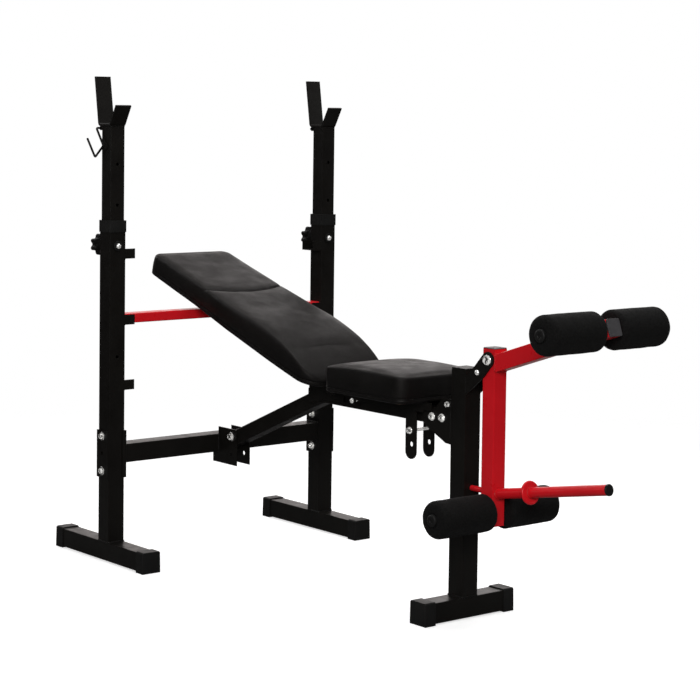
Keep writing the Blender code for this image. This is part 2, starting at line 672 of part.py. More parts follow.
def rounded_plan(x0, x1, width, radii):
    """Plan outline of a pad: width(x) is its half width, radii the corner radii at x0 and x1."""
    r0, r1 = radii
    w0, w1 = width(x0) - r0, width(x1) - r1
    inner = [x0 + r0 + (x1 - r1 - x0 - r0) * i / 8 for i in range(1, 8)]
    return [
        *arc(x1 - r1, -w1, r1, -90, 0, 5), *arc(x1 - r1, w1, r1, 0, 90, 5),
        *[(x, width(x)) for x in reversed(inner)],
        *arc(x0 + r0, w0, r0, 90, 180, 5), *arc(x0 + r0, -w0, r0, 180, 270, 5),
        *[(x, -width(x)) for x in inner],
    ]


def seat_side_outline():
    """Side outline of the seat pad, whose top rises from its rim to a crown."""
    overhang, steps = 1.5, 8  # the plan outline trims the overhang away
    x0, x1 = SEAT_X0 - overhang, SEAT_X1 + overhang
    shoulder_z = SEAT_RIM - SEAT_SHOULDER
    top = []
    for i in range(steps + 1):
        t = i / steps
        top.append((x0 + SEAT_SHOULDER + (x1 - x0 - 2 * SEAT_SHOULDER) * t,
                    SEAT_RIM + (SEAT_CROWN - SEAT_RIM) * math.sin(math.pi * t)))
    return [(x1, SEAT_BOTTOM), (x1, shoulder_z)] + top[::-1] + [(x0, shoulder_z),
                                                                (x0, SEAT_BOTTOM)]


def seat_board_solid(low, high, gap=0.0):
    """The seat board, or with a gap the recess it lies in."""
    inset = SEAT_BOARD_INSET - gap
    return bar((SEAT_X0 + inset, -SEAT_Y + inset, low), (SEAT_X1 - inset, SEAT_Y - inset, high),
               Z, SEAT_BOARD_CORNER + gap)


def seat_pad_and_board(hinge):
    pad = plate(seat_side_outline(), -SEAT_Y - 5, SEAT_Y + 5)
    plan = plate(rounded_plan(SEAT_X0, SEAT_X1, lambda x: SEAT_Y, (14.0, 34.0)),
                 SEAT_BOTTOM - 5, SEAT_CROWN + 5, PLAN)
    recess = seat_board_solid(SEAT_BOTTOM - 5, SEAT_BOARD_HIGH + GAP, GAP)
    boolean(pad, plan, "INTERSECT")
    part("seat_pad", VINYL, [pad], [recess], hinge)
    part("seat_board", PLYWOOD, [seat_board_solid(SEAT_BOARD_LOW, SEAT_BOARD_HIGH)], empty=hinge)


# ---------------------------------------------------------------- backrest
# local frame of the pad: X up the slope from its lower end, Z from its underside to its face
PAD_ANGLE = math.atan(PAD_SLOPE)
PAD_COS, PAD_SIN = math.cos(PAD_ANGLE), math.sin(PAD_ANGLE)
TILT = Matrix.Translation(mm(PAD_FOOT_X, 0, PAD_Z0 - PAD_SLOPE * PAD_FOOT_X)) @ Matrix((
    (-PAD_COS, 0, PAD_SIN, 0), (0, -1, 0, 0), (PAD_SIN, 0, PAD_COS, 0), (0, 0, 0, 1)))

# distance along the pad, half width: narrower at the head
PAD_WIDTHS = ((0, 131.0), (75, 134.0), (200, 136.5), (350, 136.0), (480, 129.0), (600, 127.0),
              (PAD_LENGTH, 126.0))
# distance along the pad, height of its face
PAD_HEIGHTS = ((12, 24.0), (52.6, 41.9), (97.7, 55.9), (150, 64.0), (230, 68.3), (365, 60.8),
               (500, 57.4), (607, 54.3), (PAD_LENGTH - 8, 51.2))
PAD_STATIONS = (12, 30, 52.6, 75, 97.7, 125, 150, 190, 230, 300, 365, 430, 500, 560, 607, 660,
                700, PAD_LENGTH - 8)


def table_value(table, x, ease=False):
    """The value at x between table rows, straight or eased in and out of each row."""
    (x0, value0), (x1, value1) = next(rows for rows in zip(table, table[1:]) if x <= rows[1][0])
    t = (x - x0) / (x1 - x0)
    if ease:
        t = t * t * (3 - 2 * t)
    return value0 + (value1 - value0) * t


def backrest_pad_and_board(hinge):
    face = [(x, table_value(PAD_HEIGHTS, x)) for x in PAD_STATIONS]
    profile = [(0, 0.5), (0, 14), *face, (PAD_LENGTH, 42), (PAD_LENGTH, -3.5), (110, -3.5),
               (70, 0.5)]
    pad = plate(profile, -150, 150, transform=TILT)
    outline = rounded_plan(0, PAD_LENGTH, lambda x: table_value(PAD_WIDTHS, x, ease=True),
                           (56.0, 30.0))
    plan = plate(outline, -8, 90, PLAN, transform=TILT)
    (x0, y0, _), (x1, y1, top) = BACK_BOARD_LOW, BACK_BOARD_HIGH
    recess = bar((x0 - GAP, y0 - GAP, -10), (x1 + GAP, y1 + GAP, top + GAP), Z,
                 BACK_BOARD_CORNER + GAP, 3, TILT)
    boolean(pad, plan, "INTERSECT")
    part("backrest_pad", VINYL, [pad], [recess], hinge)
    board = bar(BACK_BOARD_LOW, BACK_BOARD_HIGH, Z, BACK_BOARD_CORNER, 3, TILT)
    part("backrest_board", PLYWOOD, [board], empty=hinge)


def backrest_frame(hinge):
    """Two box rails under the pad, joined by cross strips."""
    rail = [(-4, -2), (-4, -20), (4, -RAIL_DEPTH), (RAIL_END, -RAIL_DEPTH), (RAIL_END, 0),
            (-2, 0)]
    solids, cuts = [], []
    for _, sign in SIDES:
        solids.append(side_plate(rail, sign, RAIL_IN, RAIL_OUT, TILT))
        y0, y1 = sorted((sign * (RAIL_IN + WALL), sign * (RAIL_OUT - WALL)))
        cuts.append(bar((22, y0, -RAIL_DEPTH + WALL), (RAIL_END + 5, y1, -WALL), X, 1.0, 1, TILT))
    for x in STRIP_X:
        solids.append(bar((x, -28, -4), (x + STRIP_WIDTH, 28, -0.4), transform=TILT))
    cuts.append(cross_drills([BACK_PIVOT], BOLT_HOLE_R, 60))
    part("backrest_frame", PAINT, solids, cuts, hinge)
    bolt("backrest_hinge_bolt", BACK_PIVOT, -RAIL_OUT, RAIL_OUT, washer=0)


# ---------------------------------------------------------------- leg lever
# local frame of the arm: X forward and up along its centreline
ARM_ANGLE = math.atan(ARM_SLOPE)
ARM = Matrix.Translation(mm(BEND_X, 0, ARM_Z)) @ Matrix.Rotation(-ARM_ANGLE, 4, "Y")
ARM_START = (ARM_START_X - BEND_X) / math.cos(ARM_ANGLE)
ARM_END = (ARM_END_X - BEND_X) / math.cos(ARM_ANGLE)
HORN_DIRECTION = Vector((1.0, 0.0, HORN_SLOPE)).normalized()


def horn(x):
    """The point of the horn's centreline at x."""
    return (x, 0.0, HORN_Z + (x - BEND_X) * HORN_SLOPE)


def leg_lever(pivot):
    """Upright lever with the roller arm at its top and a round horn with a disc below."""
    lever = column(LEVER_X, 0, LEVER_HALF, LEVER_LOW, LEVER_HIGH, 2.4)
    arm = bar((ARM_START, -19.8, -20), (ARM_END, 19.8, 20), X, 2.4, 2, ARM)
    rod = round_bar(horn(1086), horn(HORN_END_X), HORN_R, 20)
    disc_at = Vector(horn(1200))
    half_disc = HORN_DIRECTION * 3.5
    disc = round_bar(disc_at - half_disc, disc_at + half_disc, 26.5, 28)
    # short round bar between the lever and the front face of the leg
    stub = round_bar((LEG_X1 + GAP, 0, 315), (1066, 0, 315), 7.0, 14)
    part("leg_lever", RED, [lever, arm, rod, disc, stub], [
        column(LEVER_X, 0, LEVER_HALF - WALL, LEVER_LOW - CUT_OVER, LEVER_HIGH + CUT_OVER, 1.0, 1),
        bar((-26, -17.8, -18), (ARM_END + CUT_OVER, 17.8, 18), X, 2.0, 1, ARM),
        round_bar(horn(1112), horn(1450), HORN_R - WALL, 16),
        cross_drills([LEVER_PIVOT], PIVOT_HOLE_R, segments=14),
        cross_drills([UPPER_ROLLER, LOWER_ROLLER], ROLLER_TUBE_R + GAP, segments=24),
    ], pivot)


def lever_caps(pivot):
    part("lever_top_cap", PLASTIC, [
        column(LEVER_X, 0, LEVER_HALF, LEVER_HIGH + GAP, LEVER_HIGH + GAP + CAP_WALL, 4.0),
        turned([(0, 2.2), (8, 1.9), (14, 1.1), (17, 0), (0, 0)],
               (LEVER_X, 0, LEVER_HIGH + 2.8), (0, 0, 1), 16),
        column(LEVER_X, 0, LEVER_HALF - 2.4, LEVER_HIGH - 5, LEVER_HIGH + 1, 2.0, 1),
    ], empty=pivot)
    part("arm_end_cap", PLASTIC, [
        bar((ARM_END + GAP, -20, -20.2), (ARM_END + 4.3, 20, 20.2), X, 4.0, 2, ARM),
        bar((ARM_END - 14, -17.4, -17.6), (ARM_END + 1, 17.4, 17.6), X, 2.0, 1, ARM),
    ], empty=pivot)
    sleeve = [(0, 4.5), (10.5, 4.3), (13.0, 2.6), (14.0, 0), (14.0, -21), (12.8, -21),
              (12.8, GAP), (0, GAP)]
    part("horn_end_cap", PLASTIC, [turned(sleeve, horn(HORN_END_X), HORN_DIRECTION, 20)],
         empty=pivot)


def roller_set(label, centre, radius, plug_radius, outer, inner_ends, pivot):
    """A tube across the lever with a foam roller and an end plug on each side."""
    x, z = centre
    tube = [(ROLLER_TUBE_R, outer), (ROLLER_TUBE_R, -outer), (ROLLER_BORE_R, -outer),
            (ROLLER_BORE_R, outer)]
    part(label + "_roller_tube", PAINT, [turned(tube, (x, 0, z), (0, 1, 0), 24, True)],
         empty=pivot)
    edge = 9.0                # size of the rounded foam edge
    near_edge = edge * 0.3
    bore = ROLLER_TUBE_R + GAP
    plug_r, stem_r = plug_radius, 10.7
    plug = [(0, outer + 3.6), (plug_r - 4, outer + 3.4), (plug_r - 1, outer + 2.2),
            (plug_r, outer + GAP), (stem_r, outer + GAP), (stem_r, outer - 14), (0, outer - 14)]
    for side, sign in SIDES:
        inner = inner_ends[side]
        roller_axis = axis_empty(f"{label}_{side}_roller_axis",
                                 (x, sign * (inner + outer) / 2, z), pivot)
        foam = [(bore, outer), (radius - edge, outer), (radius - near_edge, outer - near_edge),
                (radius, outer - edge), (radius, inner + edge),
                (radius - near_edge, inner + near_edge), (radius - edge, inner), (bore, inner)]
        part(f"{label}_{side}_foam_roller", FOAM,
             [turned(foam, (x, 0, z), (0, sign, 0), 28, True)], empty=roller_axis)
        part(f"{label}_{side}_roller_plug", PLASTIC,
             [turned(plug, (x, 0, z), (0, sign, 0), 20)], empty=pivot)


# ---------------------------------------------------------------- build
for side_name, side_sign in SIDES:
    bar_post(side_name, side_sign)
crossbeam()
support_bar()
main_beam()
front_leg()

seat_hinge = axis_empty("seat_hinge", (SEAT_HINGE[0], 0, SEAT_HINGE[1]))
seat_frame(seat_hinge)
seat_pad_and_board(seat_hinge)

backrest_hinge = axis_empty("backrest_hinge", (BACK_PIVOT[0], 0, BACK_PIVOT[1]))
backrest_pad_and_board(backrest_hinge)
backrest_frame(backrest_hinge)

lever_pivot = axis_empty("lever_pivot", (LEVER_X, 0, LEVER_PIVOT[1]))
leg_lever(lever_pivot)
lever_caps(lever_pivot)
for roller in ROLLERS:
    roller_set(*roller, lever_pivot)
bolt("lever_pivot_bolt", LEVER_PIVOT, -STRAP_OUT, STRAP_OUT, radius=6.0, head=10.4, washer=12.0)
bolt("lever_stop_bolt", STOP_BOLT, -STRAP_OUT, STRAP_OUT, washer=0, dome=True)

# objects on a joint follow their empty, so only the free ones are moved
for obj in list(PARTS.objects) + list(CUTTERS.objects):
    if obj.parent is None:
        obj.location.x -= ORIGIN_X * MM
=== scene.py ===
"""Visual model of the adjustable weight bench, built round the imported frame.

Lengths are given in millimetres from the plane of the bar posts (x), the bench's centre plane (y) and
the floor (z), as in the CAD; P() turns them into the frame's metres.
"""

import math

import bmesh
import bpy
import numpy as np
from mathutils import Matrix, Vector, noise
from mathutils.bvhtree import BVHTree
from mathutils.kdtree import KDTree


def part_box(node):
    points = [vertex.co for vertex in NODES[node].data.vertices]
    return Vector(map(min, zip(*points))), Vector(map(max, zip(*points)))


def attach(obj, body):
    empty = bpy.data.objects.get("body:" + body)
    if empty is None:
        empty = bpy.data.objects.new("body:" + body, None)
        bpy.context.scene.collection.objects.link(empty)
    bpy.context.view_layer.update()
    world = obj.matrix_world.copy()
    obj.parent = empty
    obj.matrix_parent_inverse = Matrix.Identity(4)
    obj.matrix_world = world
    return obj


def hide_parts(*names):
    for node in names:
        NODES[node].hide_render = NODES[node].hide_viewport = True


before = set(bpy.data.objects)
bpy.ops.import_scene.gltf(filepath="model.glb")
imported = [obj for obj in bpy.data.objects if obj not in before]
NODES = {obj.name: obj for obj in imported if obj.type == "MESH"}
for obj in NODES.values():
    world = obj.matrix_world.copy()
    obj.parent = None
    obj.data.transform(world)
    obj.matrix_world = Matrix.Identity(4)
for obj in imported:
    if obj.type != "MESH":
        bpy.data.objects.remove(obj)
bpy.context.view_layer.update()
scene = bpy.context.scene

_lo, _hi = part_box("backrest_support_bar")
OX = (_lo.x + _hi.x) / 2


def P(x, y, z):
    return Vector((x * 0.001 + OX, y * 0.001, z * 0.001))


# ================================================================ materials
class Nodes:
    """A small builder for procedural materials in object coordinates."""

    def __init__(self, name, **constants):
        self.material = bpy.data.materials.new(name)
        self.material.use_nodes = True
        self.tree = self.material.node_tree
        self.bsdf = self.tree.nodes["Principled BSDF"]
        self.coord = self.tree.nodes.new("ShaderNodeTexCoord").outputs["Object"]
        for key, value in constants.items():
            self.bsdf.inputs[key.replace("_", " ")].default_value = value
        self.normal = None

    def new(self, kind, **settings):
        node = self.tree.nodes.new(kind)
        for key, value in settings.items():
            setattr(node, key, value)
        return node

    def link(self, a, b):
        self.tree.links.new(a, b)

    def noise(self, scale, detail=3.0, rough=0.55, stretch=None):
        node = self.new("ShaderNodeTexNoise")
        node.inputs["Scale"].default_value = scale
        node.inputs["Detail"].default_value = detail
        node.inputs["Roughness"].default_value = rough
        self.link(self.stretched(stretch), node.inputs["Vector"])
        return node.outputs["Fac"]

    def stretched(self, stretch):
        if stretch is None:
            return self.coord
        mapping = self.new("ShaderNodeMapping")
        mapping.inputs["Scale"].default_value = stretch
        self.link(self.coord, mapping.inputs["Vector"])
        return mapping.outputs["Vector"]

    def cells(self, scale, feature="F1", randomness=1.0):
        node = self.new("ShaderNodeTexVoronoi", feature=feature)
        node.inputs["Scale"].default_value = scale
        node.inputs["Randomness"].default_value = randomness
        self.link(self.coord, node.inputs["Vector"])
        return node.outputs["Distance"]

    def ramp(self, value, *stops):
        node = self.new("ShaderNodeValToRGB")
        ramp = node.color_ramp
        while len(ramp.elements) < len(stops):
            ramp.elements.new(0.5)
        for element, (where, colour) in zip(ramp.elements, stops):
            element.position = where
            element.color = (*colour, 1.0) if isinstance(colour, tuple) else (colour, colour, colour, 1.0)
        self.link(value, node.inputs["Fac"])
        return node.outputs["Color"]

    def math(self, operation, a, b):
        node = self.new("ShaderNodeMath", operation=operation)
        for socket, value in zip(node.inputs, (a, b)):
            if isinstance(value, (int, float)):
                socket.default_value = value
            else:
                self.link(value, socket)
        return node.outputs[0]

    def colour(self, value, *stops):
        self.link(self.ramp(value, *stops), self.bsdf.inputs["Base Color"])

    def roughness(self, value, low, high):
        node = self.new("ShaderNodeMapRange")
        node.inputs["From Min"].default_value = 0.3
        node.inputs["From Max"].default_value = 0.7
        node.inputs["To Min"].default_value = low
        node.inputs["To Max"].default_value = high
        self.link(value, node.inputs["Value"])
        self.link(node.outputs["Result"], self.bsdf.inputs["Roughness"])

    def bump(self, height, strength, distance):
        node = self.new("ShaderNodeBump")
        node.inputs["Strength"].default_value = strength
        node.inputs["Distance"].default_value = distance
        self.link(height, node.inputs["Height"])
        if self.normal is not None:
            self.link(self.normal, node.inputs["Normal"])
        self.normal = node.outputs["Normal"]
        self.link(self.normal, self.bsdf.inputs["Normal"])


def black_powder_coat():
    n = Nodes("black_powder_coat", Specular_IOR_Level=0.13)
    n.colour(n.noise(9.0, 4.0), (0.30, (0.0052, 0.0046, 0.0040)), (0.72, (0.0086, 0.0078, 0.0068)))
    n.roughness(n.noise(38.0, 4.0), 0.30, 0.44)
    n.bump(n.noise(620.0, 2.0), 0.16, 0.0004)
    n.bump(n.noise(34.0, 2.0), 0.10, 0.0006)
    return n.material


def red_gloss_paint():
    n = Nodes("red_gloss_paint", Specular_IOR_Level=0.18, Coat_Weight=0.06, Coat_Roughness=0.12)
    n.colour(n.noise(7.0, 3.0), (0.30, (0.60, 0.0085, 0.0140)), (0.70, (0.70, 0.0110, 0.0180)))
    n.roughness(n.noise(30.0, 3.0), 0.26, 0.38)
    n.bump(n.noise(420.0, 2.0), 0.10, 0.0004)
    return n.material


def weld_metal(name, colours, shine):
    n = Nodes(name, Specular_IOR_Level=shine)
    n.colour(n.noise(90.0, 3.0), (0.35, colours[0]), (0.70, colours[1]))
    n.roughness(n.noise(120.0, 3.0), 0.28, 0.46)
    n.bump(n.noise(700.0, 3.0), 0.30, 0.0005)
    return n.material


def black_plastic(name, tone, shine):
    n = Nodes(name, Specular_IOR_Level=shine)
    n.colour(n.noise(16.0, 3.0), (0.30, (0.0066 * tone, 0.0064 * tone, 0.0062 * tone)), (0.72, (0.0110 * tone, 0.0108 * tone, 0.0104 * tone)))
    n.roughness(n.noise(55.0, 3.0), 0.42, 0.56)
    n.bump(n.cells(900.0), 0.20, 0.0003)
    return n.material


def grey_plastic():
    n = Nodes("grey_cap_plastic", Specular_IOR_Level=0.40)
    n.colour(n.noise(40.0, 3.0), (0.30, (0.030, 0.029, 0.031)), (0.72, (0.046, 0.044, 0.047)))
    n.roughness(n.noise(60.0, 3.0), 0.40, 0.54)
    n.bump(n.cells(900.0), 0.18, 0.0003)
    return n.material


def zinc():
    n = Nodes("zinc_plated_steel", Metallic=1.0)
    n.colour(n.noise(170.0, 4.0), (0.30, (0.62, 0.615, 0.60)), (0.55, (0.80, 0.795, 0.775)), (0.80, (0.92, 0.91, 0.89)))
    n.roughness(n.noise(230.0, 3.0), 0.12, 0.26)
    n.bump(n.noise(1300.0, 2.0), 0.14, 0.0003)
    # Painted reflection: an emission over a noise of the reflection direction lights bright and dark patches on the
    # steel, standing in for reflected studio lights.
    mirrored = n.new("ShaderNodeTexCoord").outputs["Reflection"]
    painted_reflection_patches = n.new("ShaderNodeTexNoise")
    painted_reflection_patches.inputs["Scale"].default_value = 4.5
    painted_reflection_patches.inputs["Detail"].default_value = 1.0
    n.link(mirrored, painted_reflection_patches.inputs["Vector"])
    painted_reflection = n.ramp(painted_reflection_patches.outputs["Fac"], (0.46, (0.0, 0.0, 0.0)), (0.54, (0.95, 0.94, 0.91)))
    n.link(painted_reflection, n.bsdf.inputs["Emission Color"])
    n.bsdf.inputs["Emission Strength"].default_value = 0.60
    return n.material


def black_zinc():
    n = Nodes("blackened_steel_wire", Specular_IOR_Level=0.12)
    n.colour(n.noise(170.0, 4.0), (0.30, (0.0040, 0.0039, 0.0038)), (0.80, (0.0085, 0.0082, 0.0080)))
    n.roughness(n.noise(230.0, 3.0), 0.26, 0.42)
    n.bump(n.noise(1100.0, 2.0), 0.14, 0.0003)
    return n.material


def foam():
    n = Nodes("closed_cell_foam", Specular_IOR_Level=0.08, Sheen_Weight=0.02, Sheen_Roughness=0.5)
    n.colour(n.noise(260.0, 4.0, 0.65), (0.32, (0.0030, 0.0029, 0.0028)), (0.75, (0.0090, 0.0088, 0.0085)))
    n.roughness(n.noise(60.0, 3.0), 0.80, 0.95)
    pores = n.cells(780.0)
    n.bump(pores, 0.55, 0.0005)
    n.bump(n.noise(210.0, 3.0), 0.35, 0.0010)
    return n.material


def vinyl():
    n = Nodes("grained_black_vinyl", Specular_IOR_Level=0.12, Specular_Tint=(1.0, 0.93, 0.91, 1.0))
    n.colour(n.noise(11.0, 4.0), (0.30, (0.0040, 0.0037, 0.0035)), (0.72, (0.0068, 0.0063, 0.0060)))
    n.roughness(n.noise(22.0, 4.0), 0.40, 0.56)
    creases = n.ramp(n.cells(520.0, "DISTANCE_TO_EDGE"), (0.0, 0.0), (0.16, 1.0))
    n.bump(creases, 0.35, 0.00022)
    n.bump(n.noise(1300.0, 2.0), 0.20, 0.00018)
    n.bump(n.noise(26.0, 3.0), 0.13, 0.0016)
    return n.material


def thread():
    n = Nodes("seam_thread", Specular_IOR_Level=0.20)
    n.colour(n.noise(900.0, 2.0), (0.30, (0.0020, 0.0020, 0.0020)), (0.70, (0.0050, 0.0050, 0.0050)))
    n.roughness(n.noise(300.0, 2.0), 0.60, 0.80)
    n.bump(n.noise(1500.0, 2.0), 0.40, 0.0003)
    return n.material


def plywood():
    n = Nodes("plywood", Specular_IOR_Level=0.25)
    n.colour(n.noise(26.0, 6.0, 0.6, (0.25, 3.0, 6.0)), (0.30, (0.20, 0.125, 0.066)), (0.55, (0.30, 0.20, 0.115)), (0.80, (0.38, 0.27, 0.165)))
    n.roughness(n.noise(70.0, 3.0), 0.66, 0.86)
    n.bump(n.noise(240.0, 4.0, 0.6, (0.3, 3.0, 3.0)), 0.35, 0.0005)
    return n.material


MATERIAL = {
    "black_paint": black_powder_coat(), "red_paint": red_gloss_paint(), "black_plastic": black_plastic("moulded_black_plastic", 1.0, 0.16),
    "knob_plastic": black_plastic("moulded_knob_plastic", 0.55, 0.08),
    "zinc_hardware": zinc(), "foam": foam(), "vinyl": vinyl(), "board": plywood(),
    "grey_plastic": grey_plastic(), "thread": thread(), "black_wire": black_zinc(),
    "black_weld": weld_metal("painted_weld", ((0.0052, 0.0048, 0.0044), (0.0090, 0.0084, 0.0076)), 0.15),
    "red_weld": weld_metal("red_painted_weld", ((0.44, 0.0055, 0.0085), (0.60, 0.0110, 0.0150)), 0.25),
}


# ================================================================ mesh helpers
class Shape:
    """Points in drawing millimetres and faces, gathered from several simple forms."""

    def __init__(self):
        self.points, self.faces = [], []

    def add(self, points, faces):
        base = len(self.points)
        self.points += [Vector(p) for p in points]
        self.faces += [tuple(i + base for i in f) for f in faces]
        return self

    def rings(self, rings, close_first=True, close_last=True, cyclic=False):
        """Quads between rings of equal length, closed round each ring; ends closed by a fan to their centre."""
        n = len(rings[0])
        points, faces = [p for ring in rings for p in ring], []
        count = len(rings)
        for k in range(count if cyclic else count - 1):
            a, b = k * n, ((k + 1) % count) * n
            for i in range(n):
                j = (i + 1) % n
                faces.append((a + i, a + j, b + j, b + i))
        if not cyclic:
            for wanted, k in ((close_first, 0), (close_last, count - 1)):
                if wanted:
                    centre = sum((Vector(p) for p in rings[k]), Vector()) / n
                    points.append(centre)
                    c = len(points) - 1
                    for i in range(n):
                        j = (i + 1) % n
                        faces.append((c, k * n + j, k * n + i) if k == 0 else (c, k * n + i, k * n + j))
        return self.add(points, faces)

    def object(self, name, material, body=None, replaces=(), sharp=35.0, merge=0.004, subdivide=0):
        mesh = bpy.data.meshes.new(name)
        bm = bmesh.new()
        made = [bm.verts.new(P(*p)) for p in self.points]
        for f in self.faces:
            ids = list(dict.fromkeys(f))
            if len(ids) > 2:
                bm.faces.new([made[i] for i in ids])
        bmesh.ops.remove_doubles(bm, verts=bm.verts, dist=merge * 0.001)
        bmesh.ops.dissolve_degenerate(bm, edges=bm.edges, dist=1e-7)
        bmesh.ops.recalc_face_normals(bm, faces=bm.faces)
        bm.to_mesh(mesh)
        bm.free()
        mesh.shade_smooth()
        if sharp is not None:
            mesh.set_sharp_from_angle(angle=math.radians(sharp))
        mesh.materials.append(MATERIAL[material])
        obj = bpy.data.objects.new(name, mesh)
        scene.collection.objects.link(obj)
        if subdivide:
            mod = obj.modifiers.new("Subdivision", "SUBSURF")
            mod.levels = mod.render_levels = subdivide
        if body is not None:
            settle(obj, body, replaces)
        return obj


def settle(obj, body, replaces=()):
    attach(obj, body)
    if replaces:
        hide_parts(*replaces)


def basis(direction):
    """Two unit vectors across a direction."""
    d = Vector(direction).normalized()
    u = d.orthogonal().normalized()
    if abs(d.y) > 0.9:
        u = Vector((1, 0, 0))
        u = (u - d * u.dot(d)).normalized()
    return u, d.cross(u)


def lathe(shape, profile, start, direction, steps=32, closed=False):
    """A surface of revolution; profile is (radius, distance along the axis)."""
    d = Vector(direction).normalized()
    u, v = basis(d)
    start = Vector(start)
    rings = []
    for r, t in profile:
        rings.append([start + d * t + (u * math.cos(a) + v * math.sin(a)) * max(r, 0.0)
                      for a in (2 * math.pi * i / steps for i in range(steps))])
    return shape.rings(rings, cyclic=closed)


def hexagon(shape, radius, height, start, direction, turn=0.0, both=False):
    """A hexagon bolt head or nut with its corners chamfered; radius is to the corners."""
    d = Vector(direction).normalized()
    u, v = basis(d)
    start = Vector(start)
    flat = radius * math.cos(math.pi / 6)
    steps = 36
    rim = []
    for i in range(steps):
        a = 2 * math.pi * i / steps
        rim.append((a, flat / math.cos((a % (math.pi / 3)) - math.pi / 6)))

    def ring(func):
        out = []
        for a, r in rim:
            rr, h = func(r)
            out.append(start + d * h + (u * math.cos(a + turn) + v * math.sin(a + turn)) * rr)
        return out

    cone = math.tan(math.radians(30))
    inner = flat * 0.93
    rings = [ring(lambda r: (inner, 0.0)), ring(lambda r: (r, (r - inner) * cone))] if both else [ring(lambda r: (r, 0.0))]
    rings += [ring(lambda r: (r, height - (r - inner) * cone)), ring(lambda r: (inner, height)),
              ring(lambda r: (inner * 0.82, height - 0.25))]
    return shape.rings(rings)


def sweep(shape, points, radius, sides=10, closed=False, wobble=0.0, pitch=4.0):
    """A round bead along a path; wobble makes the ripples of a weld."""
    points = [Vector(p) for p in points]
    n = len(points)
    tangents = []
    for i in range(n):
        a = points[(i - 1) % n] if closed or i else points[0]
        b = points[(i + 1) % n] if closed or i < n - 1 else points[-1]
        tangents.append((b - a).normalized())
    u, _ = basis(tangents[0])
    rings, run = [], 0.0
    for i, (p, t) in enumerate(zip(points, tangents)):
        u = (u - t * u.dot(t)).normalized()
        v = t.cross(u)
        if i:
            run += (p - points[i - 1]).length
        r = radius * (1.0 + wobble * math.sin(2 * math.pi * run / pitch))
        rings.append([p + (u * math.cos(a) + v * math.sin(a)) * r for a in (2 * math.pi * k / sides for k in range(sides))])
    return shape.rings(rings, cyclic=closed)


def path(*corners, step=1.0):
    """Points every step millimetres along straight runs between corners."""
    out = [Vector(corners[0])]
    for a, b in zip(corners, corners[1:]):
        a, b = Vector(a), Vector(b)
        n = max(1, int((b - a).length / step))
        out += [a.lerp(b, i / n) for i in range(1, n + 1)]
    return out


def bent(corners, radius, steps=8):
    """A path whose corners are rounded."""
    corners = [Vector(c) for c in corners]
    out = [corners[0]]
    for before, at, after in zip(corners, corners[1:], corners[2:]):
        a, b = (before - at).normalized(), (after - at).normalized()
        first, last = at + a * radius, at + b * radius
        out += [first * (1 - t) ** 2 + at * 2 * t * (1 - t) + last * t * t for t in (i / steps for i in range(steps + 1))]
    out.append(corners[-1])
    return out


def box_shape(shape, lo, hi, radius, top_radius=None, steps=4):
    """A box with rounded upright corners and softened upper edges, closed."""
    (x0, y0, z0), (x1, y1, z1) = lo, hi
    soft = radius if top_radius is None else top_radius

    def ring(inset, z):
        pts = []
        r = max(radius - inset, 0.4)
        for cx, cy, a0 in ((x1, y1, 0), (x0, y1, 90), (x0, y0, 180), (x1, y0, 270)):
            ccx = cx - math.copysign(inset + r, cx - (x0 + x1) / 2)
            ccy = cy - math.copysign(inset + r, cy - (y0 + y1) / 2)
            for i in range(steps + 1):
                a = math.radians(a0 + 90.0 * i / steps)
                pts.append((ccx + r * math.cos(a), ccy + r * math.sin(a), z))
        return pts

    rings = [ring(0.0, z0), ring(0.0, z1 - soft)]
    rings += [ring(soft * (1 - math.cos(math.radians(t))), z1 - soft * (1 - math.sin(math.radians(t)))) for t in (30, 60, 90)]
    return shape.rings(rings)


# ================================================================ CAD nodes that stay
def keep(node, material, width=0.5, angle=32.0):
    """Fine bevelled edges and a new material on a CAD node; its own mesh is not changed."""
    obj = NODES[node]
    for slot in obj.material_slots:
        slot.material = MATERIAL[material]
    weld = obj.modifiers.new("Weld", "WELD")
    weld.merge_threshold = 1e-5
    if width:
        flat = obj.modifiers.new("Planar", "DECIMATE")
        flat.decimate_type = "DISSOLVE"
        flat.angle_limit = math.radians(0.4)
        bevel = obj.modifiers.new("Edges", "BEVEL")
        bevel.width = width * 0.001
        bevel.segments = 2
        bevel.limit_method = "ANGLE"
        bevel.angle_limit = math.radians(angle)
        bevel.use_clamp_overlap = True
        bevel.miter_outer = "MITER_ARC"
    normals = obj.modifiers.new("Normals", "WEIGHTED_NORMAL")
    normals.keep_sharp = False
    normals.weight = 60


for side in ("left", "right"):
    for name in ("_upright_frame", "_telescoping_post"):
        keep(side + name, "black_paint")
    for name in ("_post_collar", "_foot_cap_front", "_foot_cap_rear", "_locking_washer"):
        keep(side + name, "black_plastic", 0.9)
for name in ("crossbeam", "main_beam", "front_leg", "seat_frame", "backrest_frame"):
    keep(name, "black_paint")
for name in ("upper_roller_tube", "lower_roller_tube"):
    keep(name, "black_paint", 0.3)
for name in ("backrest_support_bar", "leg_lever"):
    keep(name, "red_paint")
for name in ("leg_top_cap", "front_foot_cap_left", "front_foot_cap_right"):
    keep(name, "black_plastic", 0.9)
keep("arm_end_cap", "grey_plastic", 0.9)
for name in ("seat_board", "backrest_board"):
    keep(name, "board", 0.8)


